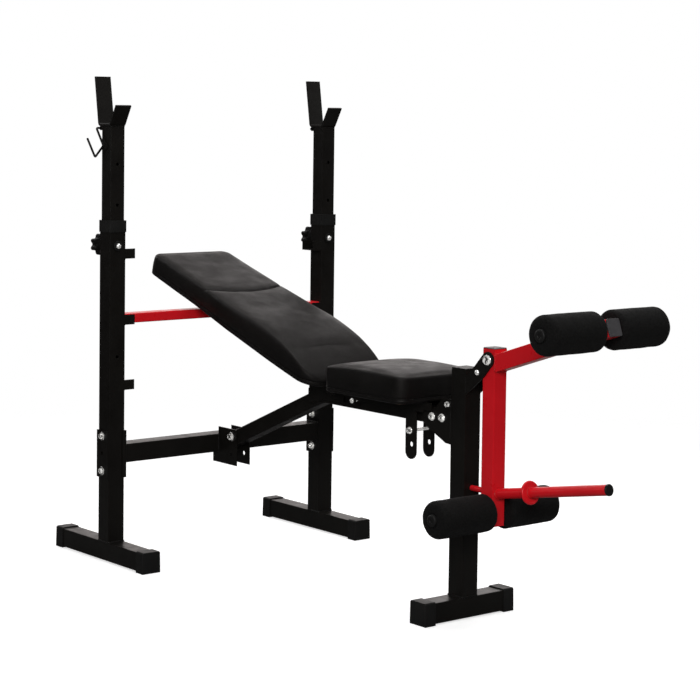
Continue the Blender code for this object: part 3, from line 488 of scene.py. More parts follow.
# ================================================================ upholstered pads
def smooth_table(table):
    """A monotone cubic through the table's points."""
    xs = np.array([p[0] for p in table], float)
    ys = np.array([p[1] for p in table], float)
    slopes = np.diff(ys) / np.diff(xs)
    m = np.zeros(len(xs))
    m[0], m[-1] = slopes[0], slopes[-1]
    for i in range(1, len(xs) - 1):
        a, b = slopes[i - 1], slopes[i]
        m[i] = 0.0 if a * b <= 0 else 2 * a * b / (a + b)

    def value(x):
        x = min(max(x, xs[0]), xs[-1])
        i = min(int(np.searchsorted(xs, x, side="right")) - 1, len(xs) - 2)
        h = xs[i + 1] - xs[i]
        t = (x - xs[i]) / h
        return ((2 * t ** 3 - 3 * t ** 2 + 1) * ys[i] + (t ** 3 - 2 * t ** 2 + t) * h * m[i]
                + (-2 * t ** 3 + 3 * t ** 2) * ys[i + 1] + (t ** 3 - t ** 2) * h * m[i + 1])

    return value


def outline(x0, x1, width, r0, r1, spacing):
    """Evenly spaced points and outward normals round a pad's plan."""
    dense = []

    def corner(cx, cy, r, a0, a1):
        for i in range(41):
            a = math.radians(a0 + (a1 - a0) * i / 40)
            dense.append((cx + r * math.cos(a), cy + r * math.sin(a)))

    w1, w0 = width(x1 - r1), width(x0 + r0)
    run = [x0 + r0 + (x1 - r1 - x0 - r0) * i / 160 for i in range(1, 160)]
    corner(x1 - r1, -(w1 - r1), r1, -90, 0)
    corner(x1 - r1, w1 - r1, r1, 0, 90)
    dense += [(x, width(x)) for x in reversed(run)]
    corner(x0 + r0, w0 - r0, r0, 90, 180)
    corner(x0 + r0, -(w0 - r0), r0, 180, 270)
    dense += [(x, -width(x)) for x in run]
    pts = np.array(dense)
    loop = np.vstack([pts, pts[:1]])
    keepers = np.concatenate([[True], np.hypot(*np.diff(loop, axis=0).T) > 1e-6])
    loop = loop[keepers]
    length = np.concatenate([[0], np.cumsum(np.hypot(*np.diff(loop, axis=0).T))])
    n = int(round(length[-1] / spacing / 2)) * 2
    at = np.linspace(0, length[-1], n, endpoint=False)
    even = np.stack([np.interp(at, length, loop[:, k]) for k in (0, 1)], axis=1)
    tangent = np.roll(even, -1, axis=0) - np.roll(even, 1, axis=0)
    tangent /= np.hypot(*tangent.T)[:, None]
    return even, np.stack([tangent[:, 1], -tangent[:, 0]], axis=1)


class Pad:
    """A boxed cushion: a lip round the board, a wall with a hem line, a rounded rim and a crowned top."""

    def __init__(self, x0, x1, width, r0, r1, rim, crown, board, to_drawing, low, hem, soft, spacing, wall_bulge=1.5):
        self.to_drawing, self.width, self.rim, self.hem, self.low = to_drawing, width, rim, hem, low
        plan, normal = outline(x0, x1, width, r0, r1, spacing)
        self.plan, self.normal = plan, normal
        n = len(plan)
        low = np.array([low(x) for x in plan[:, 0]])
        self.hem_points = [(a, b, c + hem) for (a, b), c in zip(plan, low)]
        span = 0.5 * (width(x0 + r0) + width(x1 - r1)) * 0.86
        medial = np.stack([np.clip(plan[:, 0], x0 + span, max(x1 - span, x0 + span + 1)), np.zeros(n)], axis=1)
        rings, pins = [], []

        def ring(xy, heights, pin):
            rings.append([(float(a), float(b), float(h)) for (a, b), h in zip(xy, heights)])
            pins.append(pin)

        bx0, bx1, bw, br = board[0] - 0.5, board[1] + 0.5, board[2] + 0.5, board[3]

        def inside(q):
            dx = max(bx0 + br - q[0], q[0] - (bx1 - br), 0.0)
            dy = max(abs(q[1]) - (bw - br), 0.0)
            return math.hypot(dx, dy) <= br

        recess = []
        for p, m in zip(plan, medial):
            lo_t, hi_t = 0.0, 1.0
            for _ in range(24):
                t = (lo_t + hi_t) / 2
                if inside(m + (p - m) * t):
                    lo_t = t
                else:
                    hi_t = t
            recess.append(m + (p - m) * lo_t)
        recess = np.array(recess)
        ceiling = board[4] + 0.5
        inner = 14
        for j in range(inner + 1):
            ring(medial + (recess - medial) * (j / inner), [ceiling] * n, 1.0)
        ring(recess, low + 3.0, 1.0)
        edge = plan - normal * 6.0
        lip = recess * 0.5 + edge * 0.5
        ring(recess + (edge - recess) * 0.06, low + 0.6, 1.0)
        ring(lip, low, 1.0)
        ring(edge, low, 1.0)
        for a in (25, 50, 75):
            c, s = math.cos(math.radians(a)), math.sin(math.radians(a))
            ring(plan - normal * (6.0 * (1 - s)), low + 5.0 * (1 - c), 1.0)
        ring(plan, low + 6.0, 1.0)
        ring(plan, low + hem - 1.5, 1.0)
        ring(plan, low + hem, 1.0)
        ring(plan, low + hem + 1.5, 1.0)
        self.first_free = len(rings)
        tops = np.array([rim(x) for x in plan[:, 0]])
        radius = np.minimum(soft, (tops - low - hem - 2.0) * 0.9)
        base = low + hem + 1.5
        walls = 7
        for j in range(1, walls + 1):
            t = j / walls
            heights = base + (tops - radius - base) * t
            swell = wall_bulge * math.sin(math.pi * min(t, 1.0)) * np.clip((tops - base) / 30.0, 0, 1)
            ring(plan + normal * swell[:, None], heights, 0.0)
        for a in (22, 45, 68, 90):
            c, s = math.cos(math.radians(a)), math.sin(math.radians(a))
            xy = plan - normal * (radius * (1 - c))[:, None]
            ring(xy, [rim(q[0]) - r * (1 - s) for q, r in zip(xy, radius)], 0.0)
        start = plan - normal * radius[:, None]
        steps = int(round(np.hypot(*(medial - start).T).max() / spacing))
        for j in range(1, steps + 1):
            t = j / steps
            xy = start + (medial - start) * t
            heights = []
            for q in xy:
                w = width(q[0])
                ends = min(1.0, min(q[0] - x0, x1 - q[0]) / 90.0)
                heights.append(rim(q[0]) + crown * (1 - min(1.0, abs(q[1]) / w) ** 2.4) * (1 - (1 - max(ends, 0.0)) ** 2))
            ring(xy, heights, 0.0)
        self.rings, self.pins, self.n = rings, pins, n

    def build(self, name, seams, cap, pressure):
        """Inflates the cover with cloth, held at its lip, hem and seams, then subdivides it."""
        n = self.n
        mesh = bpy.data.meshes.new(name)
        bm = bmesh.new()
        verts, weight_layer = [], bm.verts.layers.float.new("pin")
        for ring, pin in zip(self.rings, self.pins):
            for p in ring:
                vert = bm.verts.new(P(*self.to_drawing(*p)))
                vert[weight_layer] = pin
                verts.append(vert)
        for k in range(len(self.rings) - 1):
            for i in range(n):
                j = (i + 1) % n
                quad = [verts[k * n + i], verts[k * n + j], verts[(k + 1) * n + j], verts[(k + 1) * n + i]]
                bm.faces.new(quad)
        bmesh.ops.remove_doubles(bm, verts=bm.verts, dist=2e-4)
        bmesh.ops.dissolve_degenerate(bm, edges=bm.edges, dist=1e-5)
        bmesh.ops.recalc_face_normals(bm, faces=bm.faces)
        bm.to_mesh(mesh)
        bm.free()
        obj = bpy.data.objects.new(name, mesh)
        scene.collection.objects.link(obj)
        weights = np.empty(len(mesh.vertices), np.float32)
        mesh.attributes["pin"].data.foreach_get("value", weights)
        rest = np.empty(len(mesh.vertices) * 3)
        mesh.vertices.foreach_get("co", rest)
        rest = rest.reshape(-1, 3)
        for line in seams:
            near = distances(rest, line)
            weights = np.maximum(weights, np.clip(1.25 - near / 0.006, 0, 1))
        moved = inflate(obj, weights, pressure)
        swell(mesh, rest, moved, weights, cap * 0.001)
        mesh.shade_smooth()
        sub = obj.modifiers.new("Subdivision", "SUBSURF")
        sub.levels = sub.render_levels = 1
        graph = bpy.context.evaluated_depsgraph_get()
        fine = bpy.data.meshes.new_from_object(obj.evaluated_get(graph))
        obj.modifiers.clear()
        obj.data = fine
        fine.name = name
        fine.materials.clear()
        fine.materials.append(MATERIAL["vinyl"])
        obj.vertex_groups.clear()
        return obj


def distances(points, line):
    tree = KDTree(len(line))
    for i, p in enumerate(line):
        tree.insert(p, i)
    tree.balance()
    return np.array([tree.find(Vector(p))[2] for p in points])


def inflate(obj, weights, pressure):
    """Cloth pressure on a closed cover for twenty frames; returns the moved points."""
    group = obj.vertex_groups.new(name="pin")
    for i, w in enumerate(weights):
        if w > 0.01:
            group.add([i], float(w), "REPLACE")
    mod = obj.modifiers.new("Cloth", "CLOTH")
    s = mod.settings
    s.quality = 5
    s.mass = 0.3
    s.tension_stiffness = s.compression_stiffness = 15.0
    s.shear_stiffness = 5.0
    s.bending_stiffness = 0.5
    s.use_pressure = True
    s.uniform_pressure_force = pressure
    s.vertex_group_mass = "pin"
    s.effector_weights.gravity = 0.0
    mod.collision_settings.use_collision = False
    mod.collision_settings.use_self_collision = False
    mod.point_cache.frame_start, mod.point_cache.frame_end = 1, 20
    scene.frame_start, scene.frame_end = 1, 20
    for f in range(1, 21):
        scene.frame_set(f)
    graph = bpy.context.evaluated_depsgraph_get()
    data = obj.evaluated_get(graph).data
    out = np.empty(len(data.vertices) * 3)
    data.vertices.foreach_get("co", out)
    obj.modifiers.remove(mod)
    obj.vertex_groups.clear()
    scene.frame_set(1)
    return out.reshape(-1, 3)


def swell(mesh, rest, moved, weights, cap):
    """Takes the outward part of the cloth's movement, evens out its puckers as the foam beneath would, and caps it."""
    normal = np.empty(len(rest) * 3, np.float32)
    mesh.vertex_normals.foreach_get("vector", normal)
    normal = normal.reshape(-1, 3)
    out = np.clip(((moved - rest) * normal).sum(1), 0.0, 3 * cap) * (1 - np.clip(weights, 0, 1))
    edges = np.empty(len(mesh.edges) * 2, np.int32)
    mesh.edges.foreach_get("vertices", edges)
    a, b = edges.reshape(-1, 2).T
    degree = np.bincount(np.concatenate([a, b]), minlength=len(rest)).clip(1)
    for _ in range(14):
        total = np.bincount(a, out[b], len(rest)) + np.bincount(b, out[a], len(rest))
        out = (0.35 * out + 0.65 * total / degree) * (1 - np.clip(weights, 0, 1) * 0.9)
    out = cap * np.tanh(out / cap)
    mesh.vertices.foreach_set("co", (rest + normal * out[:, None]).ravel())
    mesh.update()


def carve(obj, lines, depth, sigma, ripple=0.0):
    """Sinks the surface along seam lines; ripple gathers the cover beside a seam."""
    mesh = obj.data
    mesh.update()
    count = len(mesh.vertices)
    co, no = np.empty(count * 3), np.empty(count * 3, np.float32)
    mesh.vertices.foreach_get("co", co)
    mesh.vertex_normals.foreach_get("vector", no)
    co, no = co.reshape(-1, 3), no.reshape(-1, 3)
    for line in lines:
        near = distances(co, line)
        sink = depth * 0.001 * np.exp(-(near / (sigma * 0.001)) ** 2)
        if ripple:
            wave = np.array([noise.noise(Vector(p) * 55.0) for p in co])
            sink += ripple * 0.001 * wave * np.exp(-(near / (sigma * 0.004)) ** 2)
        co = co - no * sink[:, None]
    mesh.vertices.foreach_set("co", co.ravel())
    mesh.update()


def undulate(obj, size, scale, keep_below=None):
    """Slow, slight unevenness of a stuffed cover."""
    mesh = obj.data
    mesh.update()
    for v, n in zip(mesh.vertices, [Vector(n.vector) for n in mesh.vertex_normals]):
        v.co += n * (noise.fractal(v.co * scale, 0.8, 2.0, 3) * size * 0.001)
    mesh.update()


def on_surface(obj, points, lift):
    """Points laid on the object's surface, lifted along its normal, in drawing millimetres."""
    mesh = obj.data
    tree = BVHTree.FromPolygons([v.co for v in mesh.vertices], [p.vertices for p in mesh.polygons])
    out = []
    for p in points:
        hit, normal, _, _ = tree.find_nearest(Vector(p))
        q = hit + normal * (lift * 0.001)
        out.append(((q.x - OX) * 1000, q.y * 1000, q.z * 1000))
    return out


# ---------------------------------------------------------------- backrest pad
ALPHA = math.atan(0.346)
CA, SA = math.cos(ALPHA), math.sin(ALPHA)
PAD_L = 760.0


def back_point(s, y, h):
    return (548.0 - s * CA + h * SA, -y, 509.212 + s * SA + h * CA)


back_width = smooth_table(((0, 130.5), (75, 134.0), (200, 136.5), (350, 136.5), (420, 134.2), (480, 131.6), (600, 130.2), (PAD_L, 129.4)))
back_rim = smooth_table(((0, 15.0), (12, 24.5), (30, 33.0), (52.6, 41.9), (97.7, 55.0), (150, 63.0), (230, 67.0), (365, 60.5), (500, 57.0), (607, 54.0), (PAD_L, 50.5)))
back_low = smooth_table(((0, -2.2), (60, -3.2), (112, -3.5), (520, -3.6), (660, -5.0), (PAD_L, -5.4)))
back = Pad(0, PAD_L + 2.0, back_width, 56.0, 30.0, back_rim, 1.5, (14.0, PAD_L - 14.0, 112.0, 30.0, 10.5), back_point,
           low=back_low, hem=12.0, soft=8.0, spacing=5.8, wall_bulge=1.0)


def cross_seam(y):
    return 493.0 - 31.0 * (1 - (y / 131.0) ** 2)


seam_plan = [(cross_seam(y), y) for y in np.linspace(-130.5, 130.5, 240)]
seam_line = [P(*back_point(s, y, back_rim(s) + 2.0)) for s, y in seam_plan]
back_pad = back.build("backrest_cushion", [seam_line], cap=4.0, pressure=4.0)
undulate(back_pad, 0.22, 9.0)
hem_line = [P(*back_point(*q)) for q in back.hem_points]
on_top = [P(*p) for p in on_surface(back_pad, seam_line, 0.0)]
carve(back_pad, [on_top], 2.0, 3.4, 0.5)
carve(back_pad, [hem_line], 2.2, 2.4)
settle(back_pad, "backrest", ("backrest_pad",))

shape = Shape()
sweep(shape, on_surface(back_pad, on_top, 0.25), 0.75, 8)
shape.object("backrest_cross_seam", "thread", "backrest")
shape = Shape()
sweep(shape, on_surface(back_pad, hem_line, 0.9), 1.35, 8, closed=True)
shape.object("backrest_hem_welt", "vinyl", "backrest")


# ---------------------------------------------------------------- seat pad
SEAT_LOW = 507.3


def seat_point(x, y, h):
    return (x, y, SEAT_LOW + h)


seat_width = smooth_table(((604, 127.0), (680, 128.0), (800, 128.0), (890, 126.5)))
seat_rim = smooth_table(((604, 62.5), (640, 66.5), (700, 70.0), (760, 70.5), (830, 68.5), (890, 63.5)))
seat = Pad(604.0, 890.0, seat_width, 18.0, 34.0, seat_rim, 4.0, (616.0, 878.0, 116.0, 14.0, 9.6), seat_point,
           low=lambda x: 0.3, hem=11.0, soft=5.5, spacing=4.6, wall_bulge=0.8)
seat_pad = seat.build("seat_cushion", [], cap=4.0, pressure=4.0)
undulate(seat_pad, 0.25, 11.0)
seat_hem = [P(*seat_point(*q)) for q in seat.hem_points]
carve(seat_pad, [seat_hem], 2.2, 2.4)
settle(seat_pad, "seat", ("seat_pad",))
shape = Shape()
sweep(shape, on_surface(seat_pad, seat_hem, 0.9), 1.35, 8, closed=True)
shape.object("seat_hem_welt", "vinyl", "seat")


# ================================================================ foam rollers and their plugs
def roller(label, side, x, z, r, y0, y1, plug):
    s = 1.0 if side == "left" else -1.0
    bore, e, near, lip = 12.8, 13.0, 9.5, 3.0
    length = y1 - y0
    profile = [(bore, 3.0), (bore + lip * 0.3, 0.9), (bore + lip, 0.0)]
    profile += [(r - near - (r - near - bore - lip) * (1 - t), -0.7 * math.sin(math.pi * t)) for t in (0.25, 0.5, 0.75)]
    profile += [(r - near + near * math.sin(math.radians(a)), near * (1 - math.cos(math.radians(a)))) for a in range(0, 91, 10)]
    profile += [(r + 0.3 * math.sin(math.pi * t), near + (length - e - near) * t) for t in [i / 16 for i in range(1, 16)]]
    profile += [(r - e + e * math.cos(math.radians(a)), length - e * (1 - math.sin(math.radians(a)))) for a in range(0, 91, 10)]
    profile += [(r - e - (r - e - bore - lip) * t, length + 0.9 * math.sin(math.pi * t)) for t in (0.25, 0.5, 0.75)]
    profile += [(bore + lip, length), (bore + lip * 0.3, length - 0.9), (bore, length - 3.0)]
    shape = Shape()
    lathe(shape, profile, (x, s * y0, z), (0, s, 0), 72, closed=True)
    obj = shape.object(f"{label}_{side}_roller_foam", "foam", sharp=None)
    mesh = obj.data
    mesh.update()
    for v, n in zip(mesh.vertices, [Vector(n.vector) for n in mesh.vertex_normals]):
        if math.hypot(v.co.x - (x * 0.001 + OX), v.co.z - z * 0.001) > 0.016:
            v.co += n * (noise.fractal(v.co * 42.0 + Vector((3.0 * s, x * 0.01, 0)), 0.8, 2.0, 4) * 0.00055)
    mesh.update()
    settle(obj, f"{label}_{side}_roller", (f"{label}_{side}_foam_roller",))

    shape = Shape()
    w = plug
    out = [(10.6, -18.0), (10.7, -1.0), (10.7, -0.6), (w - 0.5, -0.6), (w, 0.2), (w, 4.6), (w - 0.3, 6.0), (w - 1.3, 7.2), (w - 2.8, 7.9),
           (w - 4.6, 8.2), (6.2, 8.1), (5.2, 7.5), (4.4, 6.2), (2.4, 5.8), (0.6, 5.7)]
    lathe(shape, out, (x, s * y1, z), (0, s, 0), 40)
    shape.object(f"{label}_{side}_end_plug", "black_plastic", "lever", (f"{label}_{side}_roller_plug",), sharp=40)


roller("upper", "right", 1406.5, 726.2, 45.2, 20.6, 184.5, 15.0)
roller("upper", "left", 1406.5, 726.2, 45.2, 30.5, 184.5, 15.0)
roller("lower", "right", 1078.0, 269.9, 44.1, 20.8, 187.5, 14.5)
roller("lower", "left", 1078.0, 269.9, 44.1, 26.5, 187.0, 14.5)


# ================================================================ fasteners
def fastener(node, body, seat, far, radius=4.0, head=7.0, washer=10.0, nut=7.0, dome=False, tail=3.0, turn=0.2):
    """A bolt with washers and a lock nut, its thread standing past the nut."""
    seat, far = Vector(seat), Vector(far)
    d = (far - seat).normalized()
    gap, w = 0.3, 1.6
    shape = Shape()
    face = seat - d * (gap + (w if washer else 0.2))
    back_face = far + d * (gap + (w if washer else 0.2))
    if washer:
        for at, way in ((seat - d * gap, -d), (far + d * gap, d)):
            lathe(shape, [(radius, 0), (washer - 0.3, 0), (washer, 0.3), (washer, w - 0.35), (washer - 0.35, w), (radius, w)], at, way, 36, closed=True)
    if dome:
        h = head * 0.62
        profile = [(head, 0.0), (head, 0.5)] + [(head * math.cos(math.radians(a)), 0.5 + h * math.sin(math.radians(a))) for a in range(12, 90, 13)]
        lathe(shape, profile + [(0.3, 0.5 + h)], face, -d, 32)
    else:
        hexagon(shape, head, 5.4, face, -d, turn)
    lathe(shape, [(radius, -0.5), (radius, (far - seat).length + 2 * gap + 2 * w)], face, d, 20)
    hexagon(shape, nut, 6.0, back_face, d, turn + 0.35, both=True)
    collar = nut * 0.80
    lathe(shape, [(collar, 5.6), (collar, 7.0), (collar - 0.6, 7.8), (radius + 0.5, 7.9), (radius + 0.3, 7.4)], back_face, d, 28)
    pitch, thread_profile = 1.25, []
    end = 7.6 + tail
    t = 5.0
    while t < end - 0.8:
        thread_profile += [(radius - 0.1, t), (radius - 0.65, t + pitch / 2)]
        t += pitch
    thread_profile += [(radius - 0.2, t), (radius - 1.0, end)]
    lathe(shape, thread_profile, back_face, d, 20)
    shape.object(node + "_steel", "zinc_hardware", body, (node,), sharp=28)


for side, s in (("right", -1.0), ("left", 1.0)):
    for k, (label, z) in enumerate((("lower", 243.0), ("upper", 336.0))):
        fastener(f"{side}_crossbeam_bolt_{label}", "frame", (-3.0, s * 388.3, z), (-3.0, s * 331.0, z), washer=11.0, turn=0.15 + 0.5 * k)
fastener("clevis_bolt", "frame", (82.0, -23.4, 313.0), (82.0, 23.4, 313.0), radius=5.0, head=8.8, washer=12.0, nut=8.8, turn=0.4)
fastener("gusset_bolt_rear", "frame", (892.0, -24.7, 473.0), (892.0, 24.7, 473.0), turn=0.1)
fastener("gusset_bolt_middle", "frame", (927.0, -24.7, 474.0), (927.0, 24.7, 474.0), turn=0.6)
fastener("gusset_bolt_top", "frame", (946.0, -24.7, 509.0), (946.0, 24.7, 509.0), washer=0, turn=0.3)
fastener("seat_hinge_bolt", "frame", (605.0, -34.0, 477.0), (605.0, 34.0, 477.0), head=6.5, nut=6.5, washer=0, dome=True)
fastener("seat_hanger_bolt", "seat", (820.0, -30.9, 430.0), (820.0, 30.9, 430.0), washer=8.5, turn=0.5)
fastener("backrest_hinge_bolt", "frame", (538.0, -47.0, 501.5), (538.0, 47.0, 501.5), head=6.5, nut=6.5, washer=0, turn=0.2)
fastener("lever_pivot_bolt", "frame", (1078.0, -24.6, 629.0), (1078.0, 24.6, 629.0), radius=6.0, head=10.4, washer=12.0, nut=10.4, turn=0.35)
fastener("lever_stop_bolt", "frame", (1045.0, -24.6, 596.0), (1045.0, 24.6, 596.0), head=6.5, nut=6.5, washer=0, dome=True)

LOCK_Z = 843.6
for side, s in (("right", -1.0), ("left", 1.0)):
    c = s * 360.0
    shape = Shape()
    dome = [(7.0, 28.6), (7.0, 29.2)] + [(7.0 * math.cos(math.radians(a)), 29.2 + 5.2 * math.sin(math.radians(a))) for a in range(12, 90, 13)]
    lathe(shape, dome + [(0.3, 34.4)], (0, c, LOCK_Z), (1, 0, 0), 36)
    lathe(shape, [(4.0, 22.3), (4.0, 29.0)], (0, c, LOCK_Z), (1, 0, 0), 20)
    shape.object(side + "_locking_bolt_steel", "zinc_hardware", "frame", (side + "_locking_bolt",), sharp=28)

    # star knob: seven soft lobes round a hub, a plain stem towards the post
    shape = Shape()
    rows = []
    for t, grow in ((-44.8, 0.90), (-45.6, 0.96), (-47.5, 1.0), (-56.0, 1.0), (-65.0, 1.0), (-67.2, 0.97), (-68.8, 0.90), (-69.6, 0.78)):
        row = []
        for i in range(84):
            a = 2 * math.pi * i / 84
            lobe = math.cos(7 * a)
            r = (25.2 + 3.8 * math.copysign(abs(lobe) ** 0.75, lobe)) * grow
            row.append((t, c + r * math.cos(a), LOCK_Z + r * math.sin(a)))
        rows.append(row)
    shape.rings(rows)
    lathe(shape, [(13.0, -25.8), (13.4, -26.8), (13.4, -29.5), (17.8, -42.0), (20.0, -45.2)], (0, c, LOCK_Z), (1, 0, 0), 40)
    lathe(shape, [(16.5, -69.0), (15.6, -70.1), (6.5, -70.2), (5.5, -69.4), (0.4, -69.2)], (0, c, LOCK_Z), (1, 0, 0), 40)
    lathe(shape, [(4.0, -31.0), (4.0, -22.3)], (0, c, LOCK_Z), (1, 0, 0), 16)
    shape.object(side + "_locking_knob_grip", "knob_plastic", side + "_knob", (side + "_star_knob",), sharp=30)

    # safety hook of bent wire
    wy = c + s * 33.0
    corners = [(-31, c - s * 24.0, 1154.6), (-31, wy, 1154.6), (3, wy, 1108.5), (-37, wy, 1077.2), (-75, wy, 1126)]
    shape = Shape()
    sweep(shape, bent(corners, 5.5, 10), 3.0, 14)
    shape.object(side + "_safety_hook_wire", "black_wire", side + "_hook", (side + "_safety_hook",), sharp=50)


# ================================================================ end caps of the lever
shape = Shape()
box_shape(shape, (1058.0, -20.0, 655.2), (1098.0, 20.0, 657.0), 4.0, 0.9)
lathe(shape, [(17.0, 656.6), (16.4, 657.1), (14.0, 657.5), (10.0, 657.9), (5.0, 658.1), (0.4, 658.2)], (1078.0, 0, 0), (0, 0, 1), 40)
box_shape(shape, (1060.4, -17.6, 650.0), (1095.6, 17.6, 656.0), 2.0, 0.5)
shape.object("lever_top_plug", "grey_plastic", "lever", ("lever_top_cap",), sharp=35)

HD = Vector((1.0, 0.0, 0.1835)).normalized()
horn_end = Vector((1441.0, 0.0, 322.0 + (1441.0 - 1135.0) * 0.1835))
shape = Shape()
lathe(shape, [(12.0, -2.4), (13.1, -2.5), (13.5, -2.0), (13.5, -0.4), (13.2, 0.7), (12.3, 1.5), (11.0, 1.9), (9.4, 2.1), (5.0, 2.1), (0.4, 2.1)],
      horn_end, HD, 40)
shape.object("weight_horn_tip", "black_plastic", "lever", ("horn_end_cap",), sharp=40)


# ================================================================ weld beads
def loop_rect(plane, at, half_a, half_b, centre, corner=4.0):
    """A rounded rectangle of points at a height along one axis, for the bead round a tube's end."""
    pts = []
    for ca, cb, a0 in ((half_a - corner, half_b - corner, 0), (-half_a + corner, half_b - corner, 90),
                       (-half_a + corner, -half_b + corner, 180), (half_a - corner, -half_b + corner, 270)):
        for i in range(5):
            a = math.radians(a0 + 22.5 * i)
            pts.append((ca + corner * math.cos(a), cb + corner * math.sin(a)))
    pts.append(pts[0])
    out = []
    for (a, b), (c, d) in zip(pts, pts[1:]):
        n = max(1, int(math.hypot(c - a, d - b) / 1.0))
        out += [(a + (c - a) * i / n, b + (d - b) * i / n) for i in range(n)]
    ca, cb = centre
    if plane == "z":
        return [(ca + a, cb + b, at) for a, b in out]
    if plane == "y":
        return [(ca + a, at, cb + b) for a, b in out]
    return [(at, ca + a, cb + b) for a, b in out]


beads = Shape()
for s in (-1.0, 1.0):
    c = s * 360.0
    sweep(beads, loop_rect("z", 53.6, 25.4, 25.4, (0.0, c)), 2.0, 8, closed=True, wobble=0.12)
    sweep(beads, loop_rect("y", s * 330.6, 25.4, 25.4, (0.0, 288.5)), 2.1, 8, closed=True, wobble=0.14)
    inner = c - s * 25.4
    for z in (459.0, 633.0, 809.0):
        sweep(beads, path((-22, inner, z - 0.3), (22, inner, z - 0.3)), 1.8, 8, wobble=0.14)
        for x in (-25.0, 25.0):
            sweep(beads, path((x * 0.94, inner, z + 4), (x * 0.94, inner, z + 22)), 1.2, 8, wobble=0.14)
    for z in (266.0, 311.0):
        sweep(beads, path((25.6, s * 20.2, z), (25.6, s * 2.0, z)), 1.6, 8, wobble=0.14)
    sweep(beads, path((25.6, s * 24.0, 266), (25.6, s * 24.0, 312)), 1.9, 8, wobble=0.14)
    for a, b in (((957.0, s * 24.9, 430.0), (957.0, s * 24.9, 516.0)),):
        sweep(beads, path(a, b), 1.1, 8, wobble=0.14)
    sweep(beads, path((1006.6, s * 24.4, 541.0), (1006.6, s * 24.4, 580.0)), 1.0, 8, wobble=0.14)
    sweep(beads, path((424.0, s * 20.4, 447.6), (486.0, s * 20.4, 465.6), (554.0, s * 20.4, 465.7)), 1.3, 8, wobble=0.14)
sweep(beads, loop_rect("z", 53.6, 25.4, 25.4, (982.0, 0.0)), 2.0, 8, closed=True, wobble=0.12)
beads.object("frame_weld_beads", "black_weld", "frame", sharp=None)

for side, s in (("right", -1.0), ("left", 1.0)):
    c = s * 360.0
    beads = Shape()
    for y in (c - 22.4, c + 22.4):
        sweep(beads, path((-20.0, y, 1159.8), (20.0, y, 1159.8)), 0.9, 8, wobble=0.14)
    sweep(beads, path((-22.4, c - 18, 1158.6), (-22.4, c + 18, 1158.6)), 1.8, 8, wobble=0.14)
    sweep(beads, path((22.3, c - 18, 1159.6), (22.3, c + 18, 1159.6)), 0.9, 8, wobble=0.14)
    beads.object(side + "_catch_weld_beads", "black_weld", side + "_post", sharp=None)

beads = Shape()
ARM_A = math.atan(0.33)


def arm_point(along, y, up):
    return (1135.0 + along * math.cos(ARM_A) - up * math.sin(ARM_A), y, 635.0 + along * math.sin(ARM_A) + up * math.cos(ARM_A))


def meet(up):
    """Along the arm, where its face at this height meets the lever's front face."""
    return (1098.4 - 1135.0 + up * math.sin(ARM_A)) / math.cos(ARM_A)


ring = [arm_point(meet(-20), -17, -20.2), arm_point(meet(-20), 17, -20.2), arm_point(meet(-16), 20.2, -16), arm_point(meet(16), 20.2, 16),
        arm_point(meet(20), 17, 20.2), arm_point(meet(20), -17, 20.2), arm_point(meet(16), -20.2, 16), arm_point(meet(-16), -20.2, -16),
        arm_point(meet(-20), -17, -20.2)]
sweep(beads, path(*ring)[:-1], 1.9, 8, closed=True, wobble=0.14)
for at, r in ((Vector((1098.4, 0, 322.0 + (1098.4 - 1135.0) * 0.1835)), 13.3),):
    u, v = basis(HD)
    sweep(beads, [at + (Vector((0, 1, 0)) * math.cos(a) + Vector((-0.18, 0, 1)).normalized() * math.sin(a)) * r for a in (2 * math.pi * i / 84 for i in range(84))],
          2.1, 8, closed=True, wobble=0.14)
disc_at = Vector((1200.0, 0.0, 322.0 + 65.0 * 0.1835))
cross = HD.cross(Vector((0, 1, 0))).normalized()
for off in (-4.2, 4.2):
    sweep(beads, [disc_at + HD * off + (Vector((0, 1, 0)) * math.cos(a) + cross * math.sin(a)) * 13.2 for a in (2 * math.pi * i / 84 for i in range(84))],
          1.6, 8, closed=True, wobble=0.14)
sweep(beads, [(1057.6, 7.6 * math.cos(a), 315 + 7.6 * math.sin(a)) for a in (2 * math.pi * i / 48 for i in range(48))], 1.5, 8, closed=True, wobble=0.14)
beads.object("lever_weld_beads", "red_weld", "lever", sharp=None)

# rolled rim of the weight stop
shape = Shape()
sweep(shape, [disc_at + (Vector((0, 1, 0)) * math.cos(a) + cross * math.sin(a)) * 24.0 for a in (2 * math.pi * i / 96 for i in range(96))], 3.9, 16, closed=True)
shape.object("weight_stop_rim", "red_paint", "lever", sharp=None)


# ================================================================ stage, light and camera
world = bpy.data.worlds.new("studio")
scene.world = world
world.use_nodes = True
tree = world.node_tree
background = tree.nodes["Background"]
mix = tree.nodes.new("ShaderNodeMix")
mix.data_type = "RGBA"
rays = tree.nodes.new("ShaderNodeLightPath")
mix.inputs["B"].default_value = (1.0, 1.0, 1.0, 1)
way = tree.nodes.new("ShaderNodeTexCoord")
towards = tree.nodes.new("ShaderNodeVectorMath")
towards.operation = "DOT_PRODUCT"
towards.inputs[1].default_value = (-0.794, 0.605, 0.057)
backdrop = tree.nodes.new("ShaderNodeMapRange")
backdrop.interpolation_type = "SMOOTHSTEP"
backdrop.inputs["From Min"].default_value = 0.62
backdrop.inputs["From Max"].default_value = 0.97
backdrop.inputs["To Min"].default_value = 0.035
backdrop.inputs["To Max"].default_value = 1.35
tree.links.new(way.outputs["Generated"], towards.inputs[0])
tree.links.new(towards.outputs["Value"], backdrop.inputs["Value"])
warm = tree.nodes.new("ShaderNodeVectorMath")
warm.operation = "SCALE"
warm.inputs[0].default_value = (1.0, 0.925, 0.905)
tree.links.new(backdrop.outputs["Result"], warm.inputs["Scale"])
tree.links.new(warm.outputs["Vector"], mix.inputs["A"])
